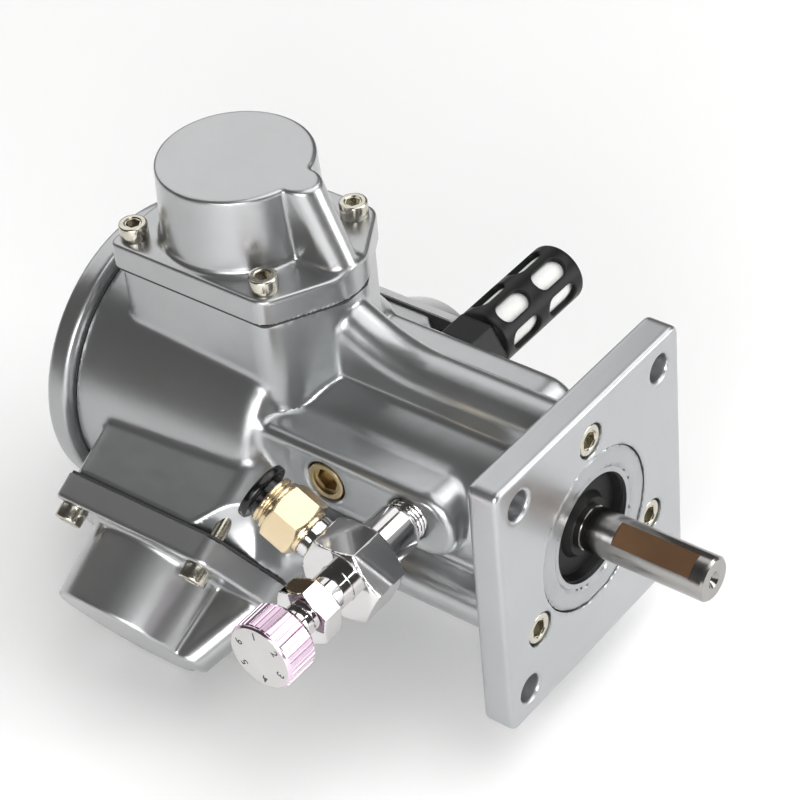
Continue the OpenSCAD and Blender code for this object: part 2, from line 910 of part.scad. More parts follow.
module tube_fitting() {
    color("burlywood")
        at_fitting()
            difference() {
                union() {
                    translate([0, 0, fitting_start - 0.8])
                        cylinder(h = 2, r = 7);
                    translate([0, 0, fitting_start])
                        rotate([0, 0, 15])
                            cylinder(h = fitting_hex_l, d = fitting_af / cos(30), $fn = 6);
                    translate([0, 0, fitting_end - 1])
                        cylinder(h = fitting_shoulder + 1, r = fitting_af / 2 - 0.3);
                }
                translate([0, 0, fitting_start - 2])
                    cylinder(h = fitting_cut, r = 3.4);
                translate([0, 0, fitting_start + 2.5])
                    cylinder(h = fitting_cut, r = tube_r + hole_gap);
                translate([0, 0, fitting_end - 5])
                    cylinder(h = fitting_cut, r = tube_r + 1.6);
            }
}

module release_ring() {
    flange_start = fitting_end + fitting_shoulder + release_gap;
    color("black")
        at_fitting()
            difference() {
                union() {
                    translate([0, 0, flange_start])
                        rotate_extrude()
                            polygon(outline([
                                [0, 0, 0], [release_d / 2, 0, 0.8], [release_d / 2, release_flange_l, 0.8],
                                [0, release_flange_l, 0]
                            ], 4));
                    translate([0, 0, fitting_end - 3])
                        cylinder(h = flange_start - fitting_end + 4, r = tube_r + 1.6 - running);
                }
                translate([0, 0, fitting_start])
                    cylinder(h = fitting_cut, r = tube_r + hole_gap);
            }
}

// Deep-groove ball bearing parts. size is [bore, outer diameter, width], back is its rear face
function ball_r(size) = (size[1] - size[0]) * 0.15;
function pitch_r(size) = (size[0] + size[1]) / 4;

module race(size, back, from_r, to_r) {
    rotate([0, 90, 0])
        rotate_extrude($fn = 96)
            difference() {
                translate([from_r, back])
                    square([to_r - from_r, size[2]]);
                translate([pitch_r(size), back + size[2] / 2])
                    circle(r = ball_r(size) + slide_gap, $fn = 32);
            }
}

module bearing_outer(size, back) {
    color("silver")
        race(size, back, pitch_r(size) + ball_r(size) * 0.5, size[1] / 2);
}

module bearing_inner(size, back) {
    color("silver")
        race(size, back, size[0] / 2, pitch_r(size) - ball_r(size) * 0.5);
}

module bearing_balls(size, back) {
    cage_half = ball_r(size) * 0.25;
    color("goldenrod") {
        for (i = [0:ball_count - 1])
            rotate([i * 360 / ball_count, 0, 0])
                translate([back + size[2] / 2, 0, pitch_r(size)])
                    sphere(r = ball_r(size), $fn = 32);
        difference() {
            x_rod(back + size[2] / 2 - ball_r(size) * 0.7, back + size[2] / 2 + ball_r(size) * 0.7,
                pitch_r(size) + cage_half);
            x_rod(back, back + size[2], pitch_r(size) - cage_half);
        }
    }
}

// Crank web: hub, pin boss and counterweight opposite the pin
module web_shape() {
    circle(r = 13);
    translate([0, crank_throw])
        circle(r = pin_r + 3.5);
    difference() {
        circle(r = counterweight_r);
        translate([-counterweight_r, -4])
            square([2 * counterweight_r, 2 * counterweight_r]);
    }
}

module crankshaft() {
    band_start = flat_start + 0.3;
    band_end = flat_start + flat_length - 0.3;
    color("silver")
        difference() {
            union() {
                x_spin([
                    [0, front_web_x + 1, 0], [main_journal_r + 2, front_web_x + 1, 0],
                    [main_journal_r + 2, main_bearing_back, 0], [main_journal_r, main_bearing_back, 0],
                    [main_journal_r, main_bearing_front, 0], [valve_shaft_r, main_bearing_front, 0],
                    [valve_shaft_r, front_bearing_back, 0], [front_bearing[0] / 2, front_bearing_back, 0],
                    [front_bearing[0] / 2, -seal_depth - running, 0], [shaft_d / 2, -seal_depth - running, 0],
                    [shaft_d / 2, -1.2, 0], [shaft_d / 2 - 0.4, -1.2, 0], [shaft_d / 2 - 0.4, 0, 0],
                    [shaft_d / 2, 0, 0], [shaft_d / 2, band_start, 0],
                    [shaft_d / 2 - band_depth, band_start, 0], [shaft_d / 2 - band_depth, band_end, 0],
                    [shaft_d / 2, band_end, 0], [shaft_d / 2, shaft_reach - 0.7, 0],
                    [shaft_d / 2 - 0.7, shaft_reach, 0], [0, shaft_reach, 0]
                ]);
                x_plate(front_web_x, front_web_end)
                    web_shape();
                translate([0, 0, crank_throw]) {
                    x_rod(rear_web_x, front_web_x + 1, pin_r);
                    x_rod(rear_web_end, front_web_x + 1, pin_r - 2);
                }
            }
            rotate([flat_turn, 0, 0])
                translate([flat_start, -shaft_d, sqrt(pow(shaft_d / 2, 2) - pow(flat_width / 2, 2))])
                    cube([flat_length, 2 * shaft_d, shaft_d]);
            x_rod(shaft_reach - 4, shaft_reach + 1, 1.2);
            translate([shaft_reach - 1.6, 0, 0])
                rotate([0, 90, 0])
                    cylinder(h = 1.7, r1 = 1, r2 = 2.8);
            translate([valve_mid, 0, valve_shaft_r])
                cube([24 + hole_gap, 5 + hole_gap, 5], center = true);
        }
}

module rear_crank_web() {
    color("silver")
        difference() {
            union() {
                x_plate(rear_web_end, rear_web_x)
                    web_shape();
                x_rod(rear_bearing_front, rear_web_x, rear_journal_r + 2);
                x_rod(rear_bearing_back - 0.5, rear_web_x, rear_journal_r);
            }
            translate([0, 0, crank_throw])
                x_rod(rear_web_end - 1, rear_web_x + 1, pin_r - 2);
            translate([0, 0, crank_throw / 2])
                x_rod(rear_bearing_back - 1, gallery_ball_x + 3, gallery_ball_r + slide_gap);
        }
}

// Small ball that closes the oil drilling in the rear journal
module gallery_ball() {
    color("silver")
        translate([gallery_ball_x, 0, crank_throw / 2])
            sphere(r = gallery_ball_r, $fn = 32);
}

module valve_key() {
    color("gray")
        translate([valve_mid, 0, valve_shaft_r])
            cube([24, 5, 5], center = true);
}

module valve_sleeve() {
    color("tan")
        difference() {
            x_rod(sleeve_back, sleeve_front, sleeve_r);
            x_rod(sleeve_back - 1, sleeve_front + 1, valve_r + running);
            for (k = [0:cylinder_count - 1])
                rotate([cylinder_step * k, 0, 0])
                    translate([valve_mid, 0, valve_r - 2])
                        cylinder(h = sleeve_r - valve_r + 4, r = duct_bore_r);
            for (x = [inlet_x, exhaust_x], k = [0:5])
                rotate([60 * k, 0, 0])
                    translate([x, 0, valve_r - 2])
                        cylinder(h = sleeve_r - valve_r + 4, r = gallery_w / 2 - 1);
        }
}

// Spool with a ring groove at each gallery and a pocket that feeds or empties the ducts
module rotary_valve() {
    floor_r = valve_r - 3;
    color("darkgoldenrod")
        difference() {
            x_rod(sleeve_back + 1, sleeve_front - 1, valve_r);
            for (x = [inlet_x, exhaust_x])
                difference() {
                    x_rod(x - 4, x + 4, valve_r + 1);
                    x_rod(x - 5, x + 5, floor_r);
                }
            for (side = [-1, 1])
                intersection() {
                    difference() {
                        x_rod(side > 0 ? valve_mid - 4 : exhaust_x, side > 0 ? inlet_x : valve_mid + 4, valve_r + 1);
                        x_rod(exhaust_x - 1, inlet_x + 1, floor_r);
                    }
                    translate([exhaust_x - 1, side > 0 ? 2.5 : -valve_d - 2.5, -valve_d])
                        cube([inlet_x - exhaust_x + 2, valve_d, 2 * valve_d]);
                }
            x_rod(sleeve_back, sleeve_front, valve_shaft_r);
            translate([valve_mid, 0, valve_shaft_r])
                cube([24 + hole_gap, 5 + hole_gap, 5 + hole_gap], center = true);
        }
}

// Triangle with its three flats at the given distance, facing the cylinders
module flats(distance) {
    rotate(-90)
        circle(r = 2 * distance, $fn = 3);
}

module at_pin() {
    translate([0, 0, crank_throw])
        children();
}

// Eccentric ring with three flats and side grooves that the pistons' feet slide on
module orbit_ring() {
    half = ring_w / 2;
    color("slategray")
        at_pin()
            difference() {
                x_plate(cyl_x - half, cyl_x + half)
                    intersection() {
                        circle(r = ring_corner_r);
                        flats(ring_flat);
                    }
                x_rod(cyl_x - half - 1, cyl_x + half + 1, bush_r);
                for (start = [cyl_x - half - 1, cyl_x + half - groove_depth])
                    x_plate(start, start + groove_depth + 1)
                        difference() {
                            flats(ring_flat - groove_top);
                            flats(ring_flat - groove_top - groove_h);
                        }
            }
}

module orbit_bush() {
    color("goldenrod")
        at_pin()
            difference() {
                x_rod(cyl_x - ring_w / 2 - 0.5, cyl_x + ring_w / 2 + 0.5, bush_r);
                x_rod(rear_web_end, front_web_end, pin_r + running);
            }
}

module piston(k) {
    flat = lift(k) + ring_flat;
    crown = crown_top - crank_throw + lift(k);
    skirt = crown - skirt_h;
    piston_r = bore_r - piston_gap;
    half = ring_w / 2;
    color("gainsboro")
        at_cylinder(k) {
            difference() {
                rotate_extrude()
                    polygon([
                        [0, flat + foot_h - 1], [stem_r, flat + foot_h - 1], [stem_r, crown - 4],
                        [piston_r - 3, crown - 4], [piston_r - 3, skirt], [piston_r, skirt],
                        [piston_r, crown - 0.5], [piston_r - 0.5, crown], [0, crown]
                    ]);
                for (depth = [3, 8])
                    translate([0, 0, crown - depth - ring_groove_h])
                        difference() {
                            cylinder(h = ring_groove_h, r = piston_r + 1);
                            cylinder(h = ring_groove_h, r = piston_r - 1.8);
                        }
            }
            y_slab(2 * foot_half)
                union() {
                    translate([-half - leg_gap - leg_wall, flat + slide_gap])
                        square([ring_w + 2 * (leg_gap + leg_wall), foot_h]);
                    for (side = [-1, 1])
                        scale_x(side) {
                            translate([half + leg_gap, flat - groove_top - groove_h + leg_gap])
                                square([leg_wall, groove_top + groove_h]);
                            translate([half - groove_depth + play, flat - groove_top - groove_h + leg_gap])
                                square([leg_wall + groove_depth - play, groove_h - 2 * leg_gap]);
                        }
                }
        }
}

// Mirrors an outline across its upright axis when side is negative
module scale_x(side) {
    if (side < 0)
        mirror([1, 0])
            children();
    else
        children();
}

module piston_rings(k) {
    crown = crown_top - crank_throw + lift(k);
    piston_r = bore_r - piston_gap;
    color("dimgray")
        at_cylinder(k)
            for (depth = [3, 8])
                translate([0, 0, crown - depth - ring_groove_h + 0.02])
                    difference() {
                        cylinder(h = ring_groove_h - 0.04, r = bore_r - running);
                        translate([0, 0, -1])
                            cylinder(h = ring_groove_h + 2, r = piston_r - 1.8);
                    }
}

housing();
mounting_flange();
flange_screws();
rear_cover();
rear_gasket();
rear_screws();
cylinder_liner(0);  // cylinder_liner_1
cylinder_liner(1);  // cylinder_liner_2
cylinder_liner(2);  // cylinder_liner_3
cylinder_head(0);  // cylinder_head_1
cylinder_head(1);  // cylinder_head_2
cylinder_head(2);  // cylinder_head_3
head_gasket(0);  // head_gasket_1
head_gasket(1);  // head_gasket_2
head_gasket(2);  // head_gasket_3
head_screws(0);  // head_screws_1
head_screws(1);  // head_screws_2
head_screws(2);  // head_screws_3
shaft_seal();
seal_ring();
exhaust_plug();
inlet_plug();
silencer_cage();
silencer_liner();
valve_body();
valve_bonnet();
valve_needle();
valve_knob();
tube_fitting();
release_ring();
bearing_outer(front_bearing, front_bearing_back);  // front_bearing_outer
bearing_inner(front_bearing, front_bearing_back);  // front_bearing_inner
bearing_balls(front_bearing, front_bearing_back);  // front_bearing_balls
bearing_outer(main_bearing, main_bearing_back);  // main_bearing_outer
bearing_inner(main_bearing, main_bearing_back);  // main_bearing_inner
bearing_balls(main_bearing, main_bearing_back);  // main_bearing_balls
bearing_outer(rear_bearing, rear_bearing_back);  // rear_bearing_outer
bearing_inner(rear_bearing, rear_bearing_back);  // rear_bearing_inner
bearing_balls(rear_bearing, rear_bearing_back);  // rear_bearing_balls
crankshaft();
rear_crank_web();
valve_key();
valve_sleeve();
rotary_valve();
orbit_ring();
orbit_bush();
gallery_ball();
piston(0);  // piston_1
piston(1);  // piston_2
piston(2);  // piston_3
piston_rings(0);  // piston_rings_1
piston_rings(1);  // piston_rings_2
piston_rings(2);  // piston_rings_3
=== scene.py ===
"""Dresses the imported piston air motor: cast skins, chromed valve, finishes, lights and camera."""

from __future__ import annotations

import json
import logging
import math
from dataclasses import dataclass, field
from enum import Enum
from typing import Callable, Iterable, Sequence

import bpy
import numpy as np
from mathutils import Euler, Matrix, Vector

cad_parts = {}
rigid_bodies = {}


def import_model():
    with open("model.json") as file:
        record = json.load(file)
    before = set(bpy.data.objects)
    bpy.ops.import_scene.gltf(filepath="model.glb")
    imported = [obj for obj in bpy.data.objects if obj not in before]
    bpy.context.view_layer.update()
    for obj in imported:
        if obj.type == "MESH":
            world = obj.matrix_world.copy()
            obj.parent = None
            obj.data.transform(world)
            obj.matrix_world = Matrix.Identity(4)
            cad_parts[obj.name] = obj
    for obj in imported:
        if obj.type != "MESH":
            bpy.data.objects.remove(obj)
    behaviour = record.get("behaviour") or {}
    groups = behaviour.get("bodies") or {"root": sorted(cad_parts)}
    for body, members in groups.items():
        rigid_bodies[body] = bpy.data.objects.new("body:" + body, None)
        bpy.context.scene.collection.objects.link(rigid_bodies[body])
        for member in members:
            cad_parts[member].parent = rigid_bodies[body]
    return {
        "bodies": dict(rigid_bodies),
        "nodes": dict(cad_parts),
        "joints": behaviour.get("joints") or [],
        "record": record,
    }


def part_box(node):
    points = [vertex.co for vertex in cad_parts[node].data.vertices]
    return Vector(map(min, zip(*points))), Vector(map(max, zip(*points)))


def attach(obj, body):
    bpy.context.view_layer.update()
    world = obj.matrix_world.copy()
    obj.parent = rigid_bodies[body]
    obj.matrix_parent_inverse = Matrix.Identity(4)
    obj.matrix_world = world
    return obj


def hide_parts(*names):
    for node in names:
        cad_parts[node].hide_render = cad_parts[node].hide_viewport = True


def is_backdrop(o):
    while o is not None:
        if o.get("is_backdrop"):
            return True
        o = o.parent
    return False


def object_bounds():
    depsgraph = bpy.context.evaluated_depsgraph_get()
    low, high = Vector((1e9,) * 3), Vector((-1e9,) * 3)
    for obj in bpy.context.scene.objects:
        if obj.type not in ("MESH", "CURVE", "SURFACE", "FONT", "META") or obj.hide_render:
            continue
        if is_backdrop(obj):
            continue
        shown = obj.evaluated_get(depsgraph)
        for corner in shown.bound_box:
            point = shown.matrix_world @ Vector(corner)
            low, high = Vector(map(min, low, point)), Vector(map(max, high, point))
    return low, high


log = logging.getLogger("air_motor")

MM = 0.001
CYLINDERS = 3
STEP = math.radians(360 / CYLINDERS)
CYLINDER_X = -122.0
FRONT_PORT_X = -42.5
REAR_PORT_X = -72.5
PORT_HEIGHT = 8.4
PORT_FACE = 33.0
BRANCH_OUT = 58.0
BRANCH_TILT = math.radians(26)
SLANT = 0.7071
BEARINGS = ("front", "main", "rear")
MILLING_STRETCH = (1.0, 0.06, 1.0)
GRAIN_SPREAD = (0.25, 0.75)
LEAST_ROUGHNESS = 0.02
Array = np.ndarray
Form = Callable[[Array, Array, Array], Array]
Space = tuple[Sequence[float], Sequence[float]]


# Forms as signed distances in millimetres, negative inside


def join(a: Array, b: Array, fillet: float = 0.0) -> Array:
    """Joins two forms.

    Args:
        a: Distances to the first form.
        b: Distances to the second form.
        fillet: Radius of the fillet between them, in millimetres.

    Returns:
        Distances to the joined form.
    """
    if fillet <= 0:
        return np.minimum(a, b)
    width = 1.2 * fillet
    near = np.maximum(width - np.abs(a - b), 0)
    return np.minimum(a, b) - near * near / (4 * width)


def common(a: Array, b: Array, rounding: float = 0.0) -> Array:
    """What two forms share, with its edge rounded by a radius in millimetres."""
    return -join(-a, -b, rounding)


def cut(a: Array, b: Array, rounding: float = 0.0) -> Array:
    """Form a without form b, with the edge rounded by a radius in millimetres."""
    return -join(-a, b, rounding)


def rod(x: Array, r: Array, start: float, end: float, radius: float, edge: float = 0.0) -> Array:
    """Cylinder from start to end along x.

    Args:
        x: Place along the axis.
        r: Distance from the axis.
        start: First end.
        end: Last end.
        radius: Radius of the cylinder.
        edge: Radius of its rounded rims.

    Returns:
        Distances to the cylinder.
    """
    return common(r - radius, np.maximum(start - x, x - end), edge)


def hexagon(u: Array, v: Array, across: float, turn: float) -> Array:
    """Distances to a hexagonal bar.

    Args:
        u: First coordinate across the bar.
        v: Second coordinate across the bar.
        across: Width across the flats.
        turn: Angle of one of its corners from u toward v, in degrees.

    Returns:
        Distances to the bar.
    """
    form = np.full(np.broadcast(u, v).shape, -1e3)
    for side in range(6):
        angle = math.radians(turn + 30 + 60 * side)
        form = np.maximum(form, u * math.cos(angle) + v * math.sin(angle) - across / 2)
    return form


CORNERS = np.array([[i, j, k] for i in (0, 1) for j in (0, 1) for k in (0, 1)])
EDGES = [
    (a, b) for a in range(8) for b in range(a + 1, 8) if np.abs(CORNERS[a] - CORNERS[b]).sum() == 1
]


def skin(form: Form, low: Sequence[float], high: Sequence[float], cell: float) -> tuple[Array, Array]:
    """Wraps a form in a closed mesh of small quads whose corners lie on the form.

    Args:
        form: Signed distance of the form.
        low: Lowest corner of the space to search.
        high: Highest corner of the space to search.
        cell: Size of a quad, in millimetres.

    Returns:
        The corners in millimetres, and the four corner numbers of each quad.
    """
    axes = [np.arange(a, b + cell, cell) for a, b in zip(low, high)]
    shape = tuple(len(a) for a in axes)
    gaps = form(axes[0][:, None, None], axes[1][None, :, None], axes[2][None, None, :])
    gaps = np.broadcast_to(gaps, shape)
    inside = gaps < 0
    count = np.zeros(tuple(n - 1 for n in shape), np.int8)
    for i, j, k in CORNERS:
        count += inside[i : shape[0] - 1 + i, j : shape[1] - 1 + j, k : shape[2] - 1 + k]
    crossed = (count > 0) & (count < 8)
    cells = np.argwhere(crossed)
    number = np.full(crossed.shape, -1, np.int64)
    number[crossed] = np.arange(len(cells))
    at = [cells + corner for corner in CORNERS]
    values = np.stack([gaps[p[:, 0], p[:, 1], p[:, 2]] for p in at], axis=1)
    total = np.zeros((len(cells), 3))
    hits = np.zeros(len(cells))
    for a, b in EDGES:
        first, last = values[:, a], values[:, b]
        change = (first < 0) != (last < 0)
        share = np.where(change, first / np.where(change, first - last, 1), 0)
        total += change[:, None] * (CORNERS[a] + share[:, None] * (CORNERS[b] - CORNERS[a]))
        hits += change
    points = np.array(low) + (cells + total / hits[:, None]) * cell
    quads = []
    for axis in range(3):
        u, v = (axis + 1) % 3, (axis + 2) % 3
        start, end = [slice(1, n - 1) for n in shape], [slice(1, n - 1) for n in shape]
        start[axis], end[axis] = slice(0, -1), slice(1, None)
        first, last = inside[tuple(start)], inside[tuple(end)]
        found = np.argwhere(first != last)
        outward = first[tuple(found.T)]
        for step in (u, v):
            found[:, step] += 1
        ring = []
        for du, dv in ((-1, -1), (0, -1), (0, 0), (-1, 0)):
            p = found.copy()
            p[:, u] += du
            p[:, v] += dv
            ring.append(number[tuple(p.T)])
        quad = np.stack(ring, axis=1)
        quad[~outward] = quad[~outward][:, ::-1]
        quads.append(quad)
    for _ in range(2):
        points = settle(form, points, cell)
    return points, np.concatenate(quads)


def settle(form: Form, points: Array, cell: float) -> Array:
    """Moves points onto the form along its slope, by half a cell at most.

    Args:
        form: Signed distance of the form.
        points: Points near its surface.
        cell: Size of a cell.

    Returns:
        The moved points.
    """
    tiny = 0.02 * cell
    here = form(*points.T)
    slope = np.stack(
        [form(*(points + tiny * axis).T) - form(*(points - tiny * axis).T) for axis in np.eye(3)], axis=1
    ) / (2 * tiny)
    steep = np.maximum((slope**2).sum(1), 0.25)
    move = -(here / steep)[:, None] * slope
    far = np.linalg.norm(move, axis=1, keepdims=True)
    return points + move * np.minimum(1, 0.5 * cell / np.maximum(far, 1e-9))


# Placing and making pieces


def along(origin: Sequence[float], axis: Sequence[float], side: Sequence[float]) -> Matrix:
    """Frame with its z on an axis and its x toward a side, with its origin in millimetres."""
    z = Vector(axis).normalized()
    x = Vector(side)
    x = (x - x.dot(z) * z).normalized()
    y = z.cross(x)
    place = Matrix((x, y, z)).transposed().to_4x4()
    place.translation = Vector(origin)
    return place


def shade(mesh: bpy.types.Mesh, angle: float = 35.0) -> None:
    """Smooths a mesh except over edges sharper than an angle in degrees."""
    mesh.polygons.foreach_set("use_smooth", [True] * len(mesh.polygons))
    mesh.set_sharp_from_angle(angle=math.radians(angle))


def object_of(name: str, points: Array, faces: Array | list, place: Matrix | None = None) -> bpy.types.Object:
    """Makes an object at the origin.

    Args:
        name: Name of the piece.
        points: Corners in millimetres, in the place's own frame.
        faces: Corner numbers of each face.
        place: Frame that the corners are in, or None for the part's own.

    Returns:
        The object, with its place in its mesh.
    """
    if place is not None:
        turn = np.array(place.to_3x3())
        points = points @ turn.T + np.array(place.translation)
    mesh = bpy.data.meshes.new(name)
    if isinstance(faces, np.ndarray):
        mesh.vertices.add(len(points))
        mesh.vertices.foreach_set("co", (points * MM).astype(np.float32).ravel())
        mesh.loops.add(faces.size)
        mesh.loops.foreach_set("vertex_index", faces.astype(np.int32).ravel())
        mesh.polygons.add(len(faces))
        starts = np.arange(0, faces.size, faces.shape[1], dtype=np.int32)
        mesh.polygons.foreach_set("loop_start", starts)
        mesh.update(calc_edges=True)
    else:
        mesh.from_pydata([Vector(p) * MM for p in points], [], faces)
    mesh.validate()
    shade(mesh)
    made = bpy.data.objects.new(name, mesh)
    bpy.context.scene.collection.objects.link(made)
    return made


def lathe(profile: Sequence[tuple[float, float]], steps: int = 96) -> tuple[Array, list]:
    """Turns a profile about z into a closed solid.

    Args:
        profile: (radius, height) points from the axis, round the outside, back to the axis.
        steps: Number of sides.

    Returns:
        The corners and the faces.
    """
    points: list[tuple[float, float, float]] = []
    rings: list[list[int]] = []
    for radius, height in profile:
        if radius <= 0:
            rings.append([len(points)])
            points.append((0, 0, height))
            continue
        rings.append(list(range(len(points), len(points) + steps)))
        for i in range(steps):
            angle = 2 * math.pi * i / steps
            points.append((radius * math.cos(angle), radius * math.sin(angle), height))
    faces: list[list[int]] = []
    for low, high in zip(rings, rings[1:]):
        for i in range(steps):
            j = (i + 1) % steps
            a, b = low[i % len(low)], low[j % len(low)]
            c, d = high[j % len(high)], high[i % len(high)]
            face = [n for n, m in zip((a, b, c, d), (d, a, b, c)) if n != m]
            if len(set(face)) > 2:
                faces.append(face)
    return np.array(points), faces


def rounded(profile: Sequence[tuple[float, float, float]], steps: int = 4) -> list[tuple[float, float]]:
    """Rounds the corners of a profile.

    Args:
        profile: (radius, height, rounding) points.
        steps: Number of short sides at each rounded corner.

    Returns:
        The (radius, height) points of the rounded profile.
    """
    out: list[tuple[float, float]] = []
    for n, (r, h, rounding) in enumerate(profile):
        corner = Vector((r, h))
        if rounding <= 0 or n in (0, len(profile) - 1):
            out.append((r, h))
            continue
        before = Vector(profile[n - 1][:2]) - corner
        after = Vector(profile[n + 1][:2]) - corner
        reach = rounding / math.tan(before.angle(after) / 2)
        first = corner + before.normalized() * reach
        last = corner + after.normalized() * reach
        for i in range(steps + 1):
            t = i / steps
            point = first * (1 - t) ** 2 + corner * 2 * t * (1 - t) + last * t**2
            out.append((point.x, point.y))
    return out


def merged(name: str, pieces: Iterable[bpy.types.Object]) -> bpy.types.Object:
    """Joins objects into one piece with that name."""
    pieces = list(pieces)
    for other in bpy.context.selected_objects:
        other.select_set(False)
    for piece in pieces:
        piece.select_set(True)
    bpy.context.view_layer.objects.active = pieces[0]
    bpy.ops.object.join()
    pieces[0].name = name
    return pieces[0]


def carve(piece: bpy.types.Object, tool: bpy.types.Object) -> None:
    """Cuts a tool out of a piece and removes the tool."""
    modifier = piece.modifiers.new("carve", "BOOLEAN")
    modifier.operation = "DIFFERENCE"
    modifier.solver = "EXACT"
    modifier.object = tool
    finish_modifiers(piece)
    bpy.data.objects.remove(tool)


def finish_modifiers(piece: bpy.types.Object) -> None:
    """Turns a piece's modifiers into its plain mesh."""
    bpy.context.view_layer.update()
    seen = piece.evaluated_get(bpy.context.evaluated_depsgraph_get())
    mesh = bpy.data.meshes.new_from_object(seen)
    piece.modifiers.clear()
    piece.data = mesh


# Node trees


def add(tree: bpy.types.NodeTree, kind: str, inputs: dict | None = None, **settings) -> bpy.types.Node:
    """Adds a node.

    Args:
        tree: Tree that it goes into.
        kind: Blender's name of the node.
        inputs: Value or linked socket of each input, by name or number.
        **settings: The node's own settings.

    Returns:
        The node.
    """
    node = tree.nodes.new(kind)
    for name, value in settings.items():
        setattr(node, name, value)
    for key, value in (inputs or {}).items():
        if isinstance(value, bpy.types.NodeSocket):
            tree.links.new(value, node.inputs[key])
        else:
            node.inputs[key].default_value = value
    return node


class Spread(Enum):
    """How a repeated shape is laid out."""

    RING = "ring"
    GRID = "grid"


def layout_tree(spread: Spread) -> bpy.types.NodeTree:
    """Geometry Nodes that repeat the incoming shape round a ring or over a grid.

    Args:
        spread: Which of the two.

    Returns:
        The tree, with named inputs for its sizes.
    """
    name = f"repeat {spread.value}"
    if name in bpy.data.node_groups:
        return bpy.data.node_groups[name]
    tree = bpy.data.node_groups.new(name, "GeometryNodeTree")
    sizes = {"Count": "Int", "Reach": "Float", "Cross Reach": "Float"}
    for label, kind in ({"Shape": "Geometry"} | sizes | {"Finish": "Material"}).items():
        tree.interface.new_socket(label, in_out="INPUT", socket_type=f"NodeSocket{kind}")
    tree.interface.new_socket("Geometry", in_out="OUTPUT", socket_type="NodeSocketGeometry")
    given = add(tree, "NodeGroupInput").outputs
    turn: object = (0.0, 0.0, 0.0)
    if spread is Spread.RING:
        sizes = {"Vertices": given["Count"], "Radius": given["Reach"]}
        spots = add(tree, "GeometryNodeMeshCircle", sizes).outputs["Mesh"]
        index = add(tree, "GeometryNodeInputIndex").outputs[0]
        whole = add(tree, "ShaderNodeMath", {0: math.tau, 1: given["Count"]}, operation="DIVIDE").outputs[0]
        angle = add(tree, "ShaderNodeMath", {0: index, 1: whole}, operation="MULTIPLY").outputs[0]
        turn = add(tree, "ShaderNodeCombineXYZ", {"Z": angle}).outputs[0]
    else:
        sizes = {"Size X": given["Reach"], "Size Y": given["Cross Reach"]}
        sizes |= {"Vertices X": given["Count"], "Vertices Y": given["Count"]}
        spots = add(tree, "GeometryNodeMeshGrid", sizes).outputs["Mesh"]
    inputs = {"Points": spots, "Instance": given["Shape"], "Rotation": turn}
    placed = add(tree, "GeometryNodeInstanceOnPoints", inputs).outputs[0]
    real = add(tree, "GeometryNodeRealizeInstances", {"Geometry": placed}).outputs[0]
    dressed = add(tree, "GeometryNodeSetMaterial", {"Geometry": real, "Material": given["Finish"]}).outputs[0]
    add(tree, "NodeGroupOutput", {0: dressed})
    return tree


def repeat(
    shape: bpy.types.Object, spread: Spread, count: int, reach: float, finish: bpy.types.Material,
    place: Matrix, cross_reach: float = 0.0,
) -> None:
    """Repeats a shape with Geometry Nodes and leaves it a plain mesh.

    Args:
        shape: Object with the shape, near the origin.
        spread: How the shape is laid out.
        count: Number round the ring, or along each side of the grid.
        reach: Radius of the ring or length of the grid, in millimetres.
        finish: Material of the result.
        place: Frame of the ring or grid, in millimetres.
        cross_reach: Width of the grid, in millimetres.
    """
    tree = layout_tree(spread)
    modifier = shape.modifiers.new("repeat", "NODES")
    modifier.node_group = tree
    values = {"Count": count, "Reach": reach * MM, "Cross Reach": cross_reach * MM, "Finish": finish}
    for socket in tree.interface.items_tree:
        if socket.in_out == "INPUT" and socket.name in values:
            modifier[socket.identifier] = values[socket.name]
    finish_modifiers(shape)
    frame = place.copy()
    frame.translation = place.translation * MM
    shape.data.transform(frame)
    shape.data.materials.clear()
    shape.data.materials.append(finish)
    shade(shape.data)


# Finishes


def linear(code: str) -> tuple[float, float, float, float]:
    """Linear colour of an sRGB hex value."""
    parts = [int(code[i : i + 2], 16) / 255 for i in (1, 3, 5)]
    turned = [c / 12.92 if c <= 0.04045 else ((c + 0.055) / 1.055) ** 2.4 for c in parts]
    return (*turned, 1.0)


class Surface(Enum):
    """How a surface was made, which sets the pattern that it shows."""

    CAST = "cast"
    MILLED = "milled"
    TURNED_X = "turned about x"
    PLATED = "plated"
    MOULDED = "moulded"


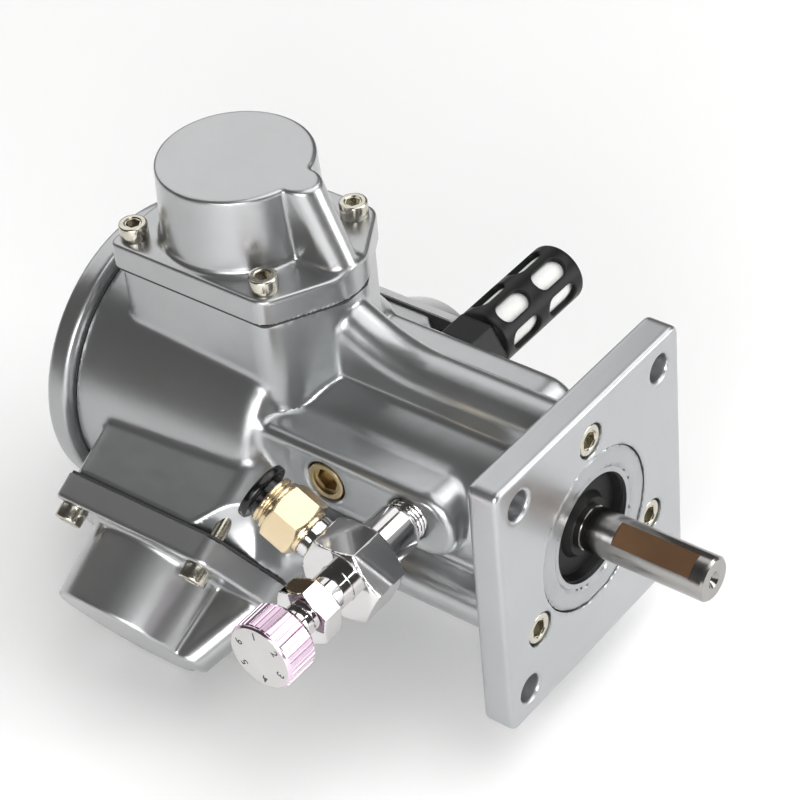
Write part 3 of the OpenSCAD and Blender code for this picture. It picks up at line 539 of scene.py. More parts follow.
@dataclass(frozen=True)
class Finish:
    """One finish: what it is made of and how its surface was made.

    Grain and lump are a size and a depth in millimetres, and coat is a weight and a roughness.
    """

    name: str
    surface: Surface
    colour: str
    shadow: str
    metallic: float
    roughness: float
    swing: float = 0.08
    mottle_mm: float = 12.0
    grain: tuple[float, float] = (0.6, 0.01)
    lump: tuple[float, float] = (5.0, 0.0)
    coat: tuple[float, float] = (0.0, 0.1)
    sheen: float = 0.5

    def build(self) -> bpy.types.Material:
        """Makes the material, or finds it if it is already made."""
        if self.name in bpy.data.materials:
            return bpy.data.materials[self.name]
        material = bpy.data.materials.new(self.name)
        material.use_nodes = True
        tree = material.node_tree
        tree.nodes.clear()
        spot = add(tree, "ShaderNodeTexCoord").outputs["Object"]
        mottle = self.noise_at(tree, spot, self.mottle_mm, 3)
        grain_spot = spot
        if self.surface is Surface.TURNED_X:
            grain_spot = self.turned_spot(tree, spot)
        if self.surface is Surface.MILLED:
            inputs = {"Vector": spot, "Scale": MILLING_STRETCH}
            grain_spot = add(tree, "ShaderNodeMapping", inputs).outputs[0]
        grain = self.noise_at(tree, grain_spot, self.grain[0], 2)
        inputs = {0: mottle, 6: linear(self.shadow), 7: linear(self.colour)}
        colour = add(tree, "ShaderNodeMix", inputs, data_type="RGBA").outputs[2]
        inputs = {"Value": grain, "From Min": GRAIN_SPREAD[0], "From Max": GRAIN_SPREAD[1]}
        inputs["To Min"] = max(LEAST_ROUGHNESS, self.roughness - self.swing)
        inputs["To Max"] = self.roughness + self.swing
        rough = add(tree, "ShaderNodeMapRange", inputs).outputs[0]
        inputs = {"Height": grain, "Strength": 1.0, "Distance": self.grain[1] * MM}
        bump = add(tree, "ShaderNodeBump", inputs).outputs[0]
        size, depth = self.lump
        if depth > 0:
            lumps = self.noise_at(tree, spot, size, 0)
            inputs = {"Height": lumps, "Strength": 1.0, "Distance": depth * MM, "Normal": bump}
            bump = add(tree, "ShaderNodeBump", inputs).outputs[0]
        inputs = {"Base Color": colour, "Metallic": self.metallic, "Roughness": rough, "Normal": bump}
        inputs |= {"Coat Weight": self.coat[0], "Coat Roughness": self.coat[1]}
        inputs["Specular IOR Level"] = self.sheen
        shader = add(tree, "ShaderNodeBsdfPrincipled", inputs)
        add(tree, "ShaderNodeOutputMaterial", {"Surface": shader.outputs[0]})
        return material

    def noise_at(
        self, tree: bpy.types.NodeTree, spot: bpy.types.NodeSocket, size_mm: float, detail: int
    ) -> bpy.types.NodeSocket:
        """Noise with spots of a size in millimetres."""
        inputs = {"Vector": spot, "Scale": 1 / (size_mm * MM), "Detail": float(detail), "Roughness": 0.55}
        return add(tree, "ShaderNodeTexNoise", inputs).outputs["Fac"]

    def turned_spot(self, tree: bpy.types.NodeTree, spot: bpy.types.NodeSocket) -> bpy.types.NodeSocket:
        """Place that changes along x and with the radius only, as a lathe's marks do."""
        parts = add(tree, "ShaderNodeSeparateXYZ", {0: spot}).outputs
        across = add(tree, "ShaderNodeCombineXYZ", {"Y": parts[1], "Z": parts[2]}).outputs[0]
        radius = add(tree, "ShaderNodeVectorMath", {0: across}, operation="LENGTH").outputs["Value"]
        return add(tree, "ShaderNodeCombineXYZ", {"X": parts[0], "Y": radius}).outputs[0]


# Silver enamel over sand-cast aluminium: metallic flake under a clear gloss, softly uneven
ENAMEL = Finish(
    "silver enamel on cast aluminium", Surface.CAST, "#B0B2B3", "#A4A6A7", 0.9, 0.3, 0.02,
    mottle_mm=18, grain=(1.6, 0.014), lump=(5, 0.045), coat=(0.4, 0.14),
)
# The same enamel over a smoother die-cast head
HEAD_ENAMEL = Finish(
    "silver enamel on cylinder heads", Surface.CAST, "#B0B1B2", "#A6A7A8", 0.9, 0.3, 0.02,
    mottle_mm=14, grain=(1.2, 0.006), lump=(6, 0.018), coat=(0.5, 0.12),
)
# Enamel over a flat milled plate: even and satin
PLATE_ENAMEL = Finish(
    "silver enamel on milled plate", Surface.MILLED, "#B4B6B8", "#ABADAF", 0.9, 0.32, 0.04,
    mottle_mm=25, grain=(0.8, 0.001), lump=(8, 0.008), coat=(0.25, 0.2),
)
# Bare turned aluminium: bright rings
TURNED_ALUMINIUM = Finish(
    "turned aluminium", Surface.TURNED_X, "#B2B4B6", "#A0A2A4", 1.0, 0.31, 0.03,
    grain=(0.6, 0.0015),
)
# Ground carbon steel: fine rings round the shaft
SHAFT_STEEL = Finish(
    "ground steel", Surface.TURNED_X, "#A6A4A1", "#94928F", 1.0, 0.2, 0.05,
    grain=(0.5, 0.0012),
)
# The shaft's milled flat, tinted brown as a painted reflection
BROWN_REFLECTION_STEEL = Finish(
    "milled steel with painted brown reflection", Surface.MILLED, "#8C6C50", "#785B43", 0.85, 0.4, 0.05,
    grain=(0.5, 0.003),
)
# Nickel-chrome plate over brass: a near mirror with slight waviness
CHROME = Finish(
    "nickel-chrome plate", Surface.PLATED, "#DCDADA", "#CFCDCD", 1.0, 0.07, 0.03,
    grain=(0.8, 0.001), lump=(6, 0.01),
)
# Chrome with a faint lilac cast on the knob's ridges
LILAC_CHROME = Finish(
    "chrome on knob ridges", Surface.PLATED, "#E2CFDD", "#CDB6C8", 1.0, 0.16, 0.04,
    grain=(0.5, 0.002),
)
# Satin-blasted chrome of the knob's face
SATIN_CHROME = Finish(
    "satin chrome", Surface.PLATED, "#C9C7C6", "#BDBBBA", 0.85, 0.42, 0.06,
    grain=(0.3, 0.004),
)
# Thin nickel over brass: pale and warm
PALE_BRASS = Finish(
    "thin nickel on brass", Surface.PLATED, "#E2D2B4", "#D2BD98", 1.0, 0.23, 0.04,
    grain=(0.5, 0.003), lump=(5, 0.01),
)
# Yellow-passivated steel plugs: dull straw colour
YELLOW_ZINC = Finish(
    "yellow zinc on steel", Surface.PLATED, "#C9B893", "#A08C66", 1.0, 0.33, 0.05,
    mottle_mm=3, grain=(0.4, 0.006),
)
# Bright zinc on socket screws
BRIGHT_ZINC = Finish(
    "bright zinc on steel", Surface.PLATED, "#D0CCC0", "#B3AEA0", 1.0, 0.2, 0.06,
    mottle_mm=2, grain=(0.4, 0.005),
)
# Glass-filled nylon, moulded: black with a soft sheen
BLACK_NYLON = Finish(
    "black moulded nylon", Surface.MOULDED, "#101011", "#0B0B0C", 0.0, 0.36, 0.08,
    grain=(0.35, 0.01), lump=(3, 0.02), sheen=0.22,
)
# Acetal of the release ring: black and glossy
BLACK_ACETAL = Finish(
    "black acetal", Surface.MOULDED, "#0C0C0D", "#08080A", 0.0, 0.2, 0.05,
    grain=(0.4, 0.003), sheen=0.4,
)
# Nitrile rubber of the seal: matt black
RUBBER = Finish(
    "nitrile rubber", Surface.MOULDED, "#0E0E0E", "#0A0A0A", 0.0, 0.5, 0.08,
    grain=(0.3, 0.004), sheen=0.2,
)
# Pressed fibre gasket: dark grey, dull
FIBRE = Finish(
    "pressed gasket fibre", Surface.MOULDED, "#3A3A39", "#2A2A29", 0.0, 0.8, 0.1,
    grain=(0.3, 0.02),
)
# Sintered polyethylene of the silencer: white and grainy
SINTERED = Finish(
    "sintered polyethylene", Surface.MOULDED, "#F4F4F2", "#E4E4E1", 0.0, 0.8, 0.1,
    mottle_mm=1, grain=(0.5, 0.06),
)
# Stamped ink of the dial's numbers
INK = Finish(
    "stamped ink", Surface.MOULDED, "#3B3739", "#2C292B", 0.0, 0.5, 0.1,
    grain=(0.2, 0.004),
)
# Bearing steel, phosphor bronze and cast iron of the running gear
BEARING_STEEL = Finish(
    "bearing steel", Surface.TURNED_X, "#C9CACB", "#B3B4B5", 1.0, 0.12, 0.04,
    grain=(0.3, 0.002),
)
BRONZE = Finish(
    "phosphor bronze", Surface.TURNED_X, "#B98A55", "#8F6437", 1.0, 0.3, 0.08,
    grain=(0.3, 0.005),
)
CAST_IRON = Finish(
    "honed cast iron", Surface.TURNED_X, "#8B8C8D", "#6F7071", 1.0, 0.35, 0.08,
    grain=(0.4, 0.006),
)


def dress(piece: bpy.types.Object, finish: Finish) -> bpy.types.Object:
    """Gives a piece one finish all over."""
    piece.data.materials.clear()
    piece.data.materials.append(finish.build())
    return piece


@dataclass
class Workshop:
    """Gives pieces their finish, body and place in the table, and reports them."""

    frame: dict

    def __post_init__(self) -> None:
        """Finds the body and the slot of each node."""
        record = self.frame["record"]
        bodies = record["behaviour"]["bodies"]
        self.body_of = {node: body for body, nodes in bodies.items() for node in nodes}
        self.slot_of = {node: m["slot"] for m in record["materials"] for node in m.get("nodes", [])}

    def keep(self, nodes: Iterable[str], finish: Finish) -> None:
        """Leaves CAD nodes showing with a better finish."""
        for node in nodes:
            dress(self.frame["nodes"][node], finish)
            log.info("kept %s: %s", node, finish.name)

    def place(self, piece: bpy.types.Object, node: str, finish: Finish | None) -> None:
        """Puts a piece in the table.

        Args:
            piece: The finished piece.
            node: CAD node that it stands for, whose body and slot it shares.
            finish: Its finish, or None if it already has one.
        """
        if finish is not None:
            dress(piece, finish)
        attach(piece, self.body_of[node])
        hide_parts(node)
        log.info("made %s for %s: %d faces", piece.name, node, len(piece.data.polygons))

    def wrap(
        self, name: str, node: str, form: Form, space: Space, cell: float, finish: Finish,
        place: Matrix | None = None,
    ) -> None:
        """Wraps a form in a mesh and puts it in the table.

        Args:
            name: Name of the piece.
            node: CAD node that it stands for.
            form: Signed distance of the form.
            space: Lowest and highest corner of the space that holds it.
            cell: Size of a quad, in millimetres.
            finish: Its finish.
            place: Frame that the form is in, or None for the part's own.
        """
        self.place(object_of(name, *skin(form, *space, cell), place), node, finish)


def turned_frame(k: int, height: float = 0.0) -> Matrix:
    """Frame on cylinder k's axis, its z pointing out, at a height above the shaft's axis."""
    return Matrix.Rotation(STEP * k, 4, "X") @ Matrix.Translation((CYLINDER_X, 0, height))


def plate_form(
    x: Array, y: Array, back: float, side: float, tip: float, slant: float, corner: float = 3.0
) -> Array:
    """Distances to the heads' hexagonal outline with its blunt tip.

    Args:
        x: Place along the shaft from the cylinder's axis.
        y: Place across the shaft.
        back: Reach toward the rear.
        side: Half width.
        tip: Reach of the blunt tip.
        slant: Distance of the slanting sides.
        corner: Radius of the corners at the sides.

    Returns:
        Distances in the plane of the plate.
    """
    lean = math.radians(29.83)
    side_gap = common(np.abs(y) - side, x * math.cos(lean) + np.abs(y) * math.sin(lean) - slant, corner)
    return common(common(side_gap, x - tip, 2.5), -x - back, corner)


@dataclass
class Casting:
    """The one-piece cast housing with its cylinder blocks, duct ridges and port blocks."""

    work: Workshop
    cell: float = 1.1
    space: Space = ((-164, -60, -56), (1, 60, 55))
    edge: float = 0.8
    rear: float = -162.0
    shoulder: float = -95.0
    rear_r: float = 43.5
    shoulder_r: float = 40.1
    shoulder_edge: float = 6.0
    neck_r: float = 27.5
    neck_start: float = -105.0
    neck_fillet: float = 3.0
    joint: float = -10.0
    spigot: tuple[float, float, float, float] = (-20, -0.3, 25.6, 0.6)
    machined: float = -3.0
    block_outline: tuple[float, ...] = (29, 26.5, 40.5, 37.57, 4.5)
    block_foot: float = 14.0
    block_fillet: float = 1.3
    duct_height: float = 32.0
    ridge_r: float = 8.0
    ridge_bend: float = -66.0
    ridge_slope: float = math.radians(26.57)
    ridge_start: float = -94.0
    ridge_fillet: float = 1.8
    bend_soft: float = 2.4
    deck: float = 52.6
    port_half: float = 11.5
    port_start: float = -101.0
    port_end: float = -37.0
    port_fillet: float = 1.6
    port_rim: float = 3.2
    recess_start: float = -86.0
    recess_depth: float = 0.35
    recess_edge: float = 0.3
    port_r: float = 6.6
    port_floor: float = 21.0
    port_chamfer: float = 1.3
    liner_r: float = 19.55
    bores: tuple[tuple[float, float, float], ...] = (
        (-163, -106, 36), (-107, -90, 23.5), (-91, -27, 20), (-28, -19, 13.5), (-20, -8, 17.5), (-9, 2, 19),
    )

    def block(self, x: Array, y: Array, z: Array) -> Array:
        """Distances to a cylinder block, in its cylinder's frame."""
        outline = plate_form(x - CYLINDER_X, y, *self.block_outline)
        return np.maximum(outline, self.block_foot - z)

    def ridge(self, x: Array, y: Array, z: Array) -> Array:
        """Distances to a duct's ridge, which falls from the block's tip and runs to the flange."""
        fall = (self.ridge_bend - x) * math.tan(self.ridge_slope)
        spread = 2.4 * self.bend_soft
        height = self.duct_height - join(-fall, np.zeros_like(fall), 2 * self.bend_soft)
        share = np.clip(0.5 + fall / (2 * spread), 0, 1)
        rise = np.maximum(z - height, 0) * (1 - share * (1 - math.cos(self.ridge_slope)))
        tube = np.hypot(y, rise) - self.ridge_r
        return np.maximum(np.maximum(tube, -z), self.ridge_start - x)

    def port_block(self, x: Array, y: Array, z: Array) -> Array:
        """Distances to the two port blocks, whose faces have a machined recess inside a thin rim."""
        outline = np.hypot(np.maximum(x - self.port_end, 0), z - PORT_HEIGHT) - self.port_half
        block = common(outline, np.abs(y) - PORT_FACE, self.port_rim)
        block = np.maximum(block, self.port_start - x)
        recess = np.maximum(outline + self.port_rim, PORT_FACE - self.recess_depth - np.abs(y))
        return cut(block, np.maximum(recess, self.recess_start - x), self.recess_edge)

    def form(self, x: Array, y: Array, z: Array) -> Array:
        """Distances to the whole casting with its bores."""
        r = np.hypot(y, z)
        taper = (self.rear_r - self.shoulder_r) / (self.shoulder - self.rear)
        ahead = x - self.shoulder
        case = common(r - self.shoulder_r + taper * ahead, ahead, self.shoulder_edge)
        form = join(case, np.maximum(r - self.neck_r, self.neck_start - x), self.neck_fillet)
        form = join(form, self.port_block(x, y, z), self.port_fillet)
        decks = []
        for k in range(CYLINDERS):
            c, s = math.cos(STEP * k), math.sin(STEP * k)
            across, out = y * c + z * s, z * c - y * s
            form = join(form, self.ridge(x, across, out), self.ridge_fillet)
            form = join(form, self.block(x, across, out), self.block_fillet)
            decks.append((across, out))
        form = common(np.maximum(form, x - self.joint), self.rear - x, self.edge)
        for across, out in decks:
            form = common(form, out - self.deck, self.edge)
        form = join(form, rod(x, r, *self.spigot))
        for start, end, radius in self.bores:
            form = np.maximum(form, -rod(x, r, start, end, radius))
        for across, out in decks:
            from_axis = np.hypot(x - CYLINDER_X, across)
            form = np.maximum(form, -np.maximum(from_axis - self.liner_r, -out))
        for port in (FRONT_PORT_X, REAR_PORT_X):
            from_port = np.hypot(x - port, z - PORT_HEIGHT)
            form = np.maximum(form, -np.maximum(from_port - self.port_r, self.port_floor - np.abs(y)))
            mouth = (from_port - self.port_r - self.port_chamfer + PORT_FACE - np.abs(y)) * SLANT
            form = np.maximum(form, -mouth)
        return form

    def build(self) -> None:
        """Makes the cast skin."""
        piece = dress(object_of("cast_housing", *skin(self.form, *self.space, self.cell)), ENAMEL)
        piece.data.materials.append(TURNED_ALUMINIUM.build())
        for face in piece.data.polygons:
            face.material_index = face.center.x > self.machined * MM
        self.work.place(piece, "housing", None)


@dataclass
class CylinderHeads:
    """Three heads with their domes and noses, their gaskets and socket screws."""

    work: Workshop
    cell: float = 0.65
    space: Space = ((-31, -28.5, 52), (42.5, 28.5, 88))
    outline: tuple[float, ...] = (30, 27.5, 41.5, 38.49)
    plate_base: float = 53.4
    plate_top: float = 62.0
    plate_edge: float = 1.0
    plate_fillet: float = 2.0
    dome_r: float = 23.8
    dome_top: float = 87.0
    dome_edge: float = 1.1
    dome_draft: float = 0.04
    nose_foot: tuple[float, float] = (35.5, 5.4)
    nose_lean: float = math.radians(25.64)
    nose_draft: float = 0.03
    nose_fillet: float = 1.2
    hollows: tuple[tuple[float, float], ...] = ((19.55, 79.2), (17, 83))
    hole_r: float = 2.8
    screw_grid: tuple[float, float] = (49.5, 42.2)

    def form(self, x: Array, y: Array, z: Array) -> Array:
        """Distances to a head, in its cylinder's frame."""
        r = np.hypot(x, y)
        outline = plate_form(x, y, *self.outline)
        plate = common(outline, z - self.plate_top, self.plate_edge)
        dome = r - self.dome_r - (self.dome_top - z) * self.dome_draft
        foot_x, foot_r = self.nose_foot
        c, s = math.cos(self.nose_lean), math.sin(self.nose_lean)
        ahead = (x - foot_x) * c + (z - self.plate_top) * s
        up = (z - self.plate_top) * c - (x - foot_x) * s
        nose = np.hypot(np.maximum(ahead, 0), y) - foot_r - self.nose_draft * (up + 4)
        crown = join(dome, np.maximum(nose, -x), self.nose_fillet)
        form = join(plate, common(crown, z - self.dome_top, self.dome_edge), self.plate_fillet)
        form = np.maximum(np.maximum(form, outline - 0.02), self.plate_base - z)
        for radius, top in self.hollows:
            form = np.maximum(form, -np.maximum(r - radius, z - top))
        gx, gy = self.screw_grid
        return np.maximum(form, self.hole_r - np.hypot(np.abs(x) - gx / 2, np.abs(y) - gy / 2))

    def build(self) -> None:
        """Makes the heads and their screws."""
        points, quads = skin(self.form, *self.space, self.cell)
        for k in range(CYLINDERS):
            node = f"cylinder_head_{k + 1}"
            self.work.place(object_of(node + "_cast", points, quads, turned_frame(k)), node, HEAD_ENAMEL)
            screw = socket_screw(f"head_cap_screws_{k + 1}", 5.0, 8.7, 5.0, 4.0, 22.0)
            gx, gy = self.screw_grid
            repeat(screw, Spread.GRID, 2, gx, BRIGHT_ZINC.build(), turned_frame(k, self.plate_top), gy)
            self.work.place(screw, f"head_screws_{k + 1}", None)
        self.work.keep([f"head_gasket_{k + 1}" for k in range(CYLINDERS)], FIBRE)


def socket_screw(
    name: str, d: float, head_d: float, head_l: float, socket: float, length: float
) -> bpy.types.Object:
    """Socket-head screw along z, with its head's underside at z = 0.

    Args:
        name: Name of the piece.
        d: Diameter of the shank.
        head_d: Diameter of the head.
        head_l: Length of the head.
        socket: Width of the socket across the flats.
        length: Length of the shank.

    Returns:
        The screw.
    """
    profile = rounded(
        [
            (0, -length, 0), (d / 2, -length, 0.5), (d / 2, 0, 0), (head_d / 2, 0, 0.2),
            (head_d / 2, head_l, 0.7), (socket / 2 + 0.75, head_l, 0.2), (socket / 2 + 0.4, head_l - 0.35, 0),
            (0, head_l - 0.35, 0),
        ],
        3,
    )
    screw = object_of(name, *lathe(profile, 36))
    corner, low, high = socket / 2 / math.cos(math.pi / 6), head_l * 0.45, head_l + 1
    carve(screw, object_of("bit", *lathe([(0, low), (corner, low), (corner, high), (0, high)], 6)))
    return screw


@dataclass
class RearCover:
    """The turned rear cover with its recessed screws."""

    work: Workshop
    cell: float = 0.9
    space: Space = ((-172, -49, -49), (-144, 49, 49))
    back: float = -170.6
    front: float = -162.5
    cover_r: float = 47.5
    rim_edge: float = 1.8
    steps: tuple[tuple[float, float], ...] = ((-158.5, 35.95), (-146, 22))
    bores: tuple[tuple[float, float], ...] = ((-158, 17.5), (-160, 13.5))
    screw_r: float = 39.75
    hole_r: float = 2.8
    seat: float = -165.2
    seat_r: float = 4.65
    count: int = 6

    def form(self, x: Array, y: Array, z: Array) -> Array:
        """Distances to the cover."""
        r = np.hypot(y, z)
        form = rod(x, r, self.back, self.front, self.cover_r, self.rim_edge)
        for end, radius in self.steps:
            form = join(form, rod(x, r, self.back + 2, end, radius))
        for start, radius in self.bores:
            form = np.maximum(form, -rod(x, r, start, -140, radius))
        for k in range(self.count):
            angle = (k + 0.5) * 2 * math.pi / self.count
            from_screw = np.hypot(y - self.screw_r * math.sin(angle), z - self.screw_r * math.cos(angle))
            form = np.maximum(form, self.hole_r - from_screw)
            form = cut(form, np.maximum(from_screw - self.seat_r, x - self.seat), 0.4)
        return form

    def build(self) -> None:
        """Makes the cover and its screws."""
        self.work.wrap("rear_cover_cast", "rear_cover", self.form, self.space, self.cell, HEAD_ENAMEL)
        turn = math.pi / self.count
        place = along((self.seat, 0, 0), (-1, 0, 0), (0, math.sin(turn), math.cos(turn)))
        screws = socket_screw("rear_cap_screws", 5.0, 8.7, 5.0, 4.0, 16.0)
        repeat(screws, Spread.RING, self.count, self.screw_r, BRIGHT_ZINC.build(), place)
        self.work.place(screws, "rear_screws", None)
        self.work.keep(["rear_gasket"], FIBRE)


@dataclass
class FlangePlate:
    """The square mounting flange, its screws and the shaft's seal."""

    work: Workshop
    cell: float = 0.7
    space: Space = ((-11, -46, -46), (1, 46, 46))
    half: float = 45.0
    corner: float = 3.0
    thick: float = 10.0
    edge: float = 1.2
    hole_edge: float = 0.3
    bore_r: float = 25.9
    mount: float = 35.0
    mount_r: float = 4.5
    mount_edge: float = 0.9
    screw_r: float = 33.0
    hole_r: float = 3.3
    sink: float = 6.5
    sink_r: float = 5.5

    def form(self, x: Array, y: Array, z: Array) -> Array:
        """Distances to the flange."""
        side = common(np.abs(y) - self.half, np.abs(z) - self.half, self.corner)
        form = common(side, np.maximum(x, -self.thick - x), self.edge)
        form = cut(form, np.hypot(y, z) - self.bore_r, self.hole_edge)
        from_mount = np.hypot(np.abs(y) - self.mount, np.abs(z) - self.mount)
        form = cut(form, from_mount - self.mount_r, self.mount_edge)
        for k in range(CYLINDERS):
            side, up = self.screw_r * math.sin(STEP * k), self.screw_r * math.cos(STEP * k)
            from_screw = np.hypot(y + side, z - up)
            form = np.maximum(form, self.hole_r - from_screw)
            form = cut(form, np.maximum(from_screw - self.sink_r, -self.sink - x), self.hole_edge)
        return form

    def build(self) -> None:
        """Makes the flange and its screws, and dresses the seal."""
        self.work.wrap("flange_plate", "mounting_flange", self.form, self.space, self.cell, PLATE_ENAMEL)
        screws = socket_screw("flange_cap_screws", 6.0, 10.0, 6.0, 5.0, 20.0)
        place = along((-self.sink, 0, 0), (1, 0, 0), (0, 0, 1))
        repeat(screws, Spread.RING, CYLINDERS, self.screw_r, BRIGHT_ZINC.build(), place)
        self.work.place(screws, "flange_screws", None)
        self.work.keep(["shaft_seal"], RUBBER)
        self.work.keep(["seal_ring"], TURNED_ALUMINIUM)


@dataclass
class FlowValve:
    """The chromed flow valve: its body with a threaded stem, the bonnet nut, the needle and the knob."""

    work: Workshop
    cell: float = 0.34
    body_space: Space = ((-16.2, -15.2, 22), (14.5, 15, 65))
    bonnet_space: Space = ((-10.5, -10.5, 59.5), (10.5, 10.5, 89))
    place: Matrix = field(
        default_factory=lambda: along((FRONT_PORT_X, 0, PORT_HEIGHT), (0, -1, 0), (1, 0, 0))
    )
    pitch: float = 1.337
    thread_start: float = 30.0
    thread_depth: float = 0.75
    stem: tuple[float, float] = (23, 38)
    stem_r: float = 6.6
    collar: tuple[float, float, float] = (36.4, 52.0, 7.65)
    body_hex: tuple[float, float, float, float] = (51.0, 65.0, 24.6, 4.5)
    nut_hex: tuple[float, float, float, float] = (73.5, 81.4, 17.0, 22.5)
    branch_r: float = 6.6
    branch_end: float = 15.7
    duct_r: float = 3.0
    neck: tuple[float, float, float] = (60.5, 75, 6)
    tip: tuple[float, float, float, float] = (80, 87.9, 5, 0.4)
    needle_r: float = 3.03
    knob: tuple[float, float, float] = (87.4, 99.4, 10.45)
    ridges: int = 36
    number_r: float = 7.4

    def nut(self, u: Array, v: Array, w: Array, sizes: tuple[float, ...], bevel: float) -> Array:
        """Hexagon with chamfered ends.

        Args:
            u: First coordinate across.
            v: Second coordinate across.
            w: Place along the valve's axis.
            sizes: Start, end, width across the flats and angle of a corner.
            bevel: Length that the end chamfers take at the corners.

        Returns:
            Distances to the hexagon.
        """
        start, end, across, turn = sizes
        r = np.hypot(u, v)
        lean = math.atan2(bevel, across * 0.0774 + 0.3)
        inner = across / 2 - 0.3
        form = hexagon(u, v, across, turn)
        form = common(form, np.maximum(start - w, w - end), 0.15)
        for gap in (start - w, w - end):
            form = common(form, (r - inner) * math.sin(lean) + gap * math.cos(lean), 0.15)
        return form

    def body_form(self, u: Array, v: Array, w: Array) -> Array:
        """Distances to the valve's body, w running out along its axis."""
        r = np.hypot(u, v)
        turn = w / self.pitch - np.arctan2(v, u) / math.tau
        crest = np.abs(2 * (turn - np.floor(turn)) - 1)
        start, end = self.stem
        thread = self.thread_depth * crest * (w > self.thread_start)
        stem = np.maximum(r - self.stem_r + thread, np.maximum(start - w, w - end))
        start, end, collar_r = self.collar
        form = join(stem, common(r - collar_r, np.maximum(start - w, w - end), 0.7))
        form = join(form, self.nut(u, v, w, self.body_hex, 1.1), 0.3)
        c, s = math.cos(BRANCH_TILT), math.sin(BRANCH_TILT)
        out, side = -u * c + v * s, u * s + v * c
        branch = rod(out, np.hypot(side, w - BRANCH_OUT), 0, self.branch_end, self.branch_r, 0.3)
        form = join(form, branch, 0.5)
        seat, _, neck_r = self.neck
        form = np.maximum(form, -np.maximum(r - neck_r, seat - w))
        duct = np.hypot(side, w - BRANCH_OUT) - self.duct_r
        return np.maximum(form, -np.maximum(duct, neck_r - out))

    def bonnet_form(self, u: Array, v: Array, w: Array) -> Array:
        """Distances to the bonnet nut with its necks."""
        r = np.hypot(u, v)
        form = rod(w, r, *self.neck)
        form = join(form, self.nut(u, v, w, self.nut_hex, 0.7))
        form = join(form, rod(w, r, *self.tip))
        return np.maximum(form, self.needle_r - r)

    def build(self) -> None:
        """Makes the valve."""
        for name, node, form, space in (
            ("valve_body_plated", "valve_body", self.body_form, self.body_space),
            ("bonnet_nut_plated", "valve_bonnet", self.bonnet_form, self.bonnet_space),
        ):
            self.work.wrap(name, node, form, space, self.cell, CHROME, self.place)
        self.work.keep(["valve_needle"], SHAFT_STEEL)
        self.build_knob()

    def build_knob(self) -> None:
        """Makes the knob with its ridges, satin face and numbers."""
        low, high, radius = self.knob
        profile = rounded(
            [
                (0, high - 4, 0), (self.needle_r, high - 4, 0), (self.needle_r, low + 5, 0),
                (6, low + 5, 0), (6, low, 0.2),
                (radius - 0.9, low, 0.2), (radius, low + 1.1, 0.3), (radius, high - 0.6, 0.4),
                (radius - 0.5, high, 0.2), (0, high, 0),
            ]
        )
        barrel = object_of("barrel", *lathe(profile, 144), self.place)
        dress(barrel, LILAC_CHROME)
        barrel.data.materials.append(SATIN_CHROME.build())
        outer = self.place.translation.y - (high - 0.01)
        for face in barrel.data.polygons:
            if face.center.y < outer * MM:
                face.material_index = 1
        # A ridge's corners, out from the barrel and across it
        foot, crest = [(-0.05, -0.76), (-0.05, 0.76)], [(0.37, 0.5928), (0.37, -0.5928)]
        points = []
        for foot_at, crest_at in ((low + 1.0, low + 1.5), (high - 0.75, high - 1.05)):
            points += [(x, y, foot_at) for x, y in foot] + [(x, y, crest_at) for x, y in crest]
        faces = [[0, 3, 2, 1], [4, 5, 6, 7], [0, 1, 5, 4], [1, 2, 6, 5], [2, 3, 7, 6], [3, 0, 4, 7]]
        ridge = object_of("ridges", np.array(points), faces)
        repeat(ridge, Spread.RING, self.ridges, radius, LILAC_CHROME.build(), self.place)
        pieces = [barrel, ridge]
        for n in range(6):
            pieces.append(self.number(str(n + 1), math.radians(98 - 60 * n), high))
        self.work.place(merged("knob", pieces), "valve_knob", None)

    def number(self, text: str, angle: float, high: float) -> bpy.types.Object:
        """Makes one plain number of the dial.

        Args:
            text: The number.
            angle: Its place round the face, from +X toward +Z.
            high: Height of the face on the valve's axis.

        Returns:
            The number as a thin raised mesh.
        """
        curve = bpy.data.curves.new("number", "FONT")
        curve.body = text
        curve.align_x, curve.align_y = "CENTER", "CENTER"
        curve.size = 3.6 * MM
        curve.extrude = 0.03 * MM
        curve.offset = 0.06 * MM
        letter = bpy.data.objects.new("number", curve)
        bpy.context.scene.collection.objects.link(letter)
        bpy.context.view_layer.update()
        mesh = bpy.data.meshes.new_from_object(letter.evaluated_get(bpy.context.evaluated_depsgraph_get()))
        bpy.data.objects.remove(letter)
        made = bpy.data.objects.new("number", mesh)
        bpy.context.scene.collection.objects.link(made)
        frame = self.place.copy()
        frame.translation = frame.translation * MM
        spot = Vector((self.number_r * math.cos(angle), self.number_r * math.sin(angle), high)) * MM
        turn = Matrix.Rotation(angle - math.pi / 2, 4, "Z")
        mesh.transform(frame @ Matrix.Translation(spot) @ turn)
        dress(made, INK)
        return made


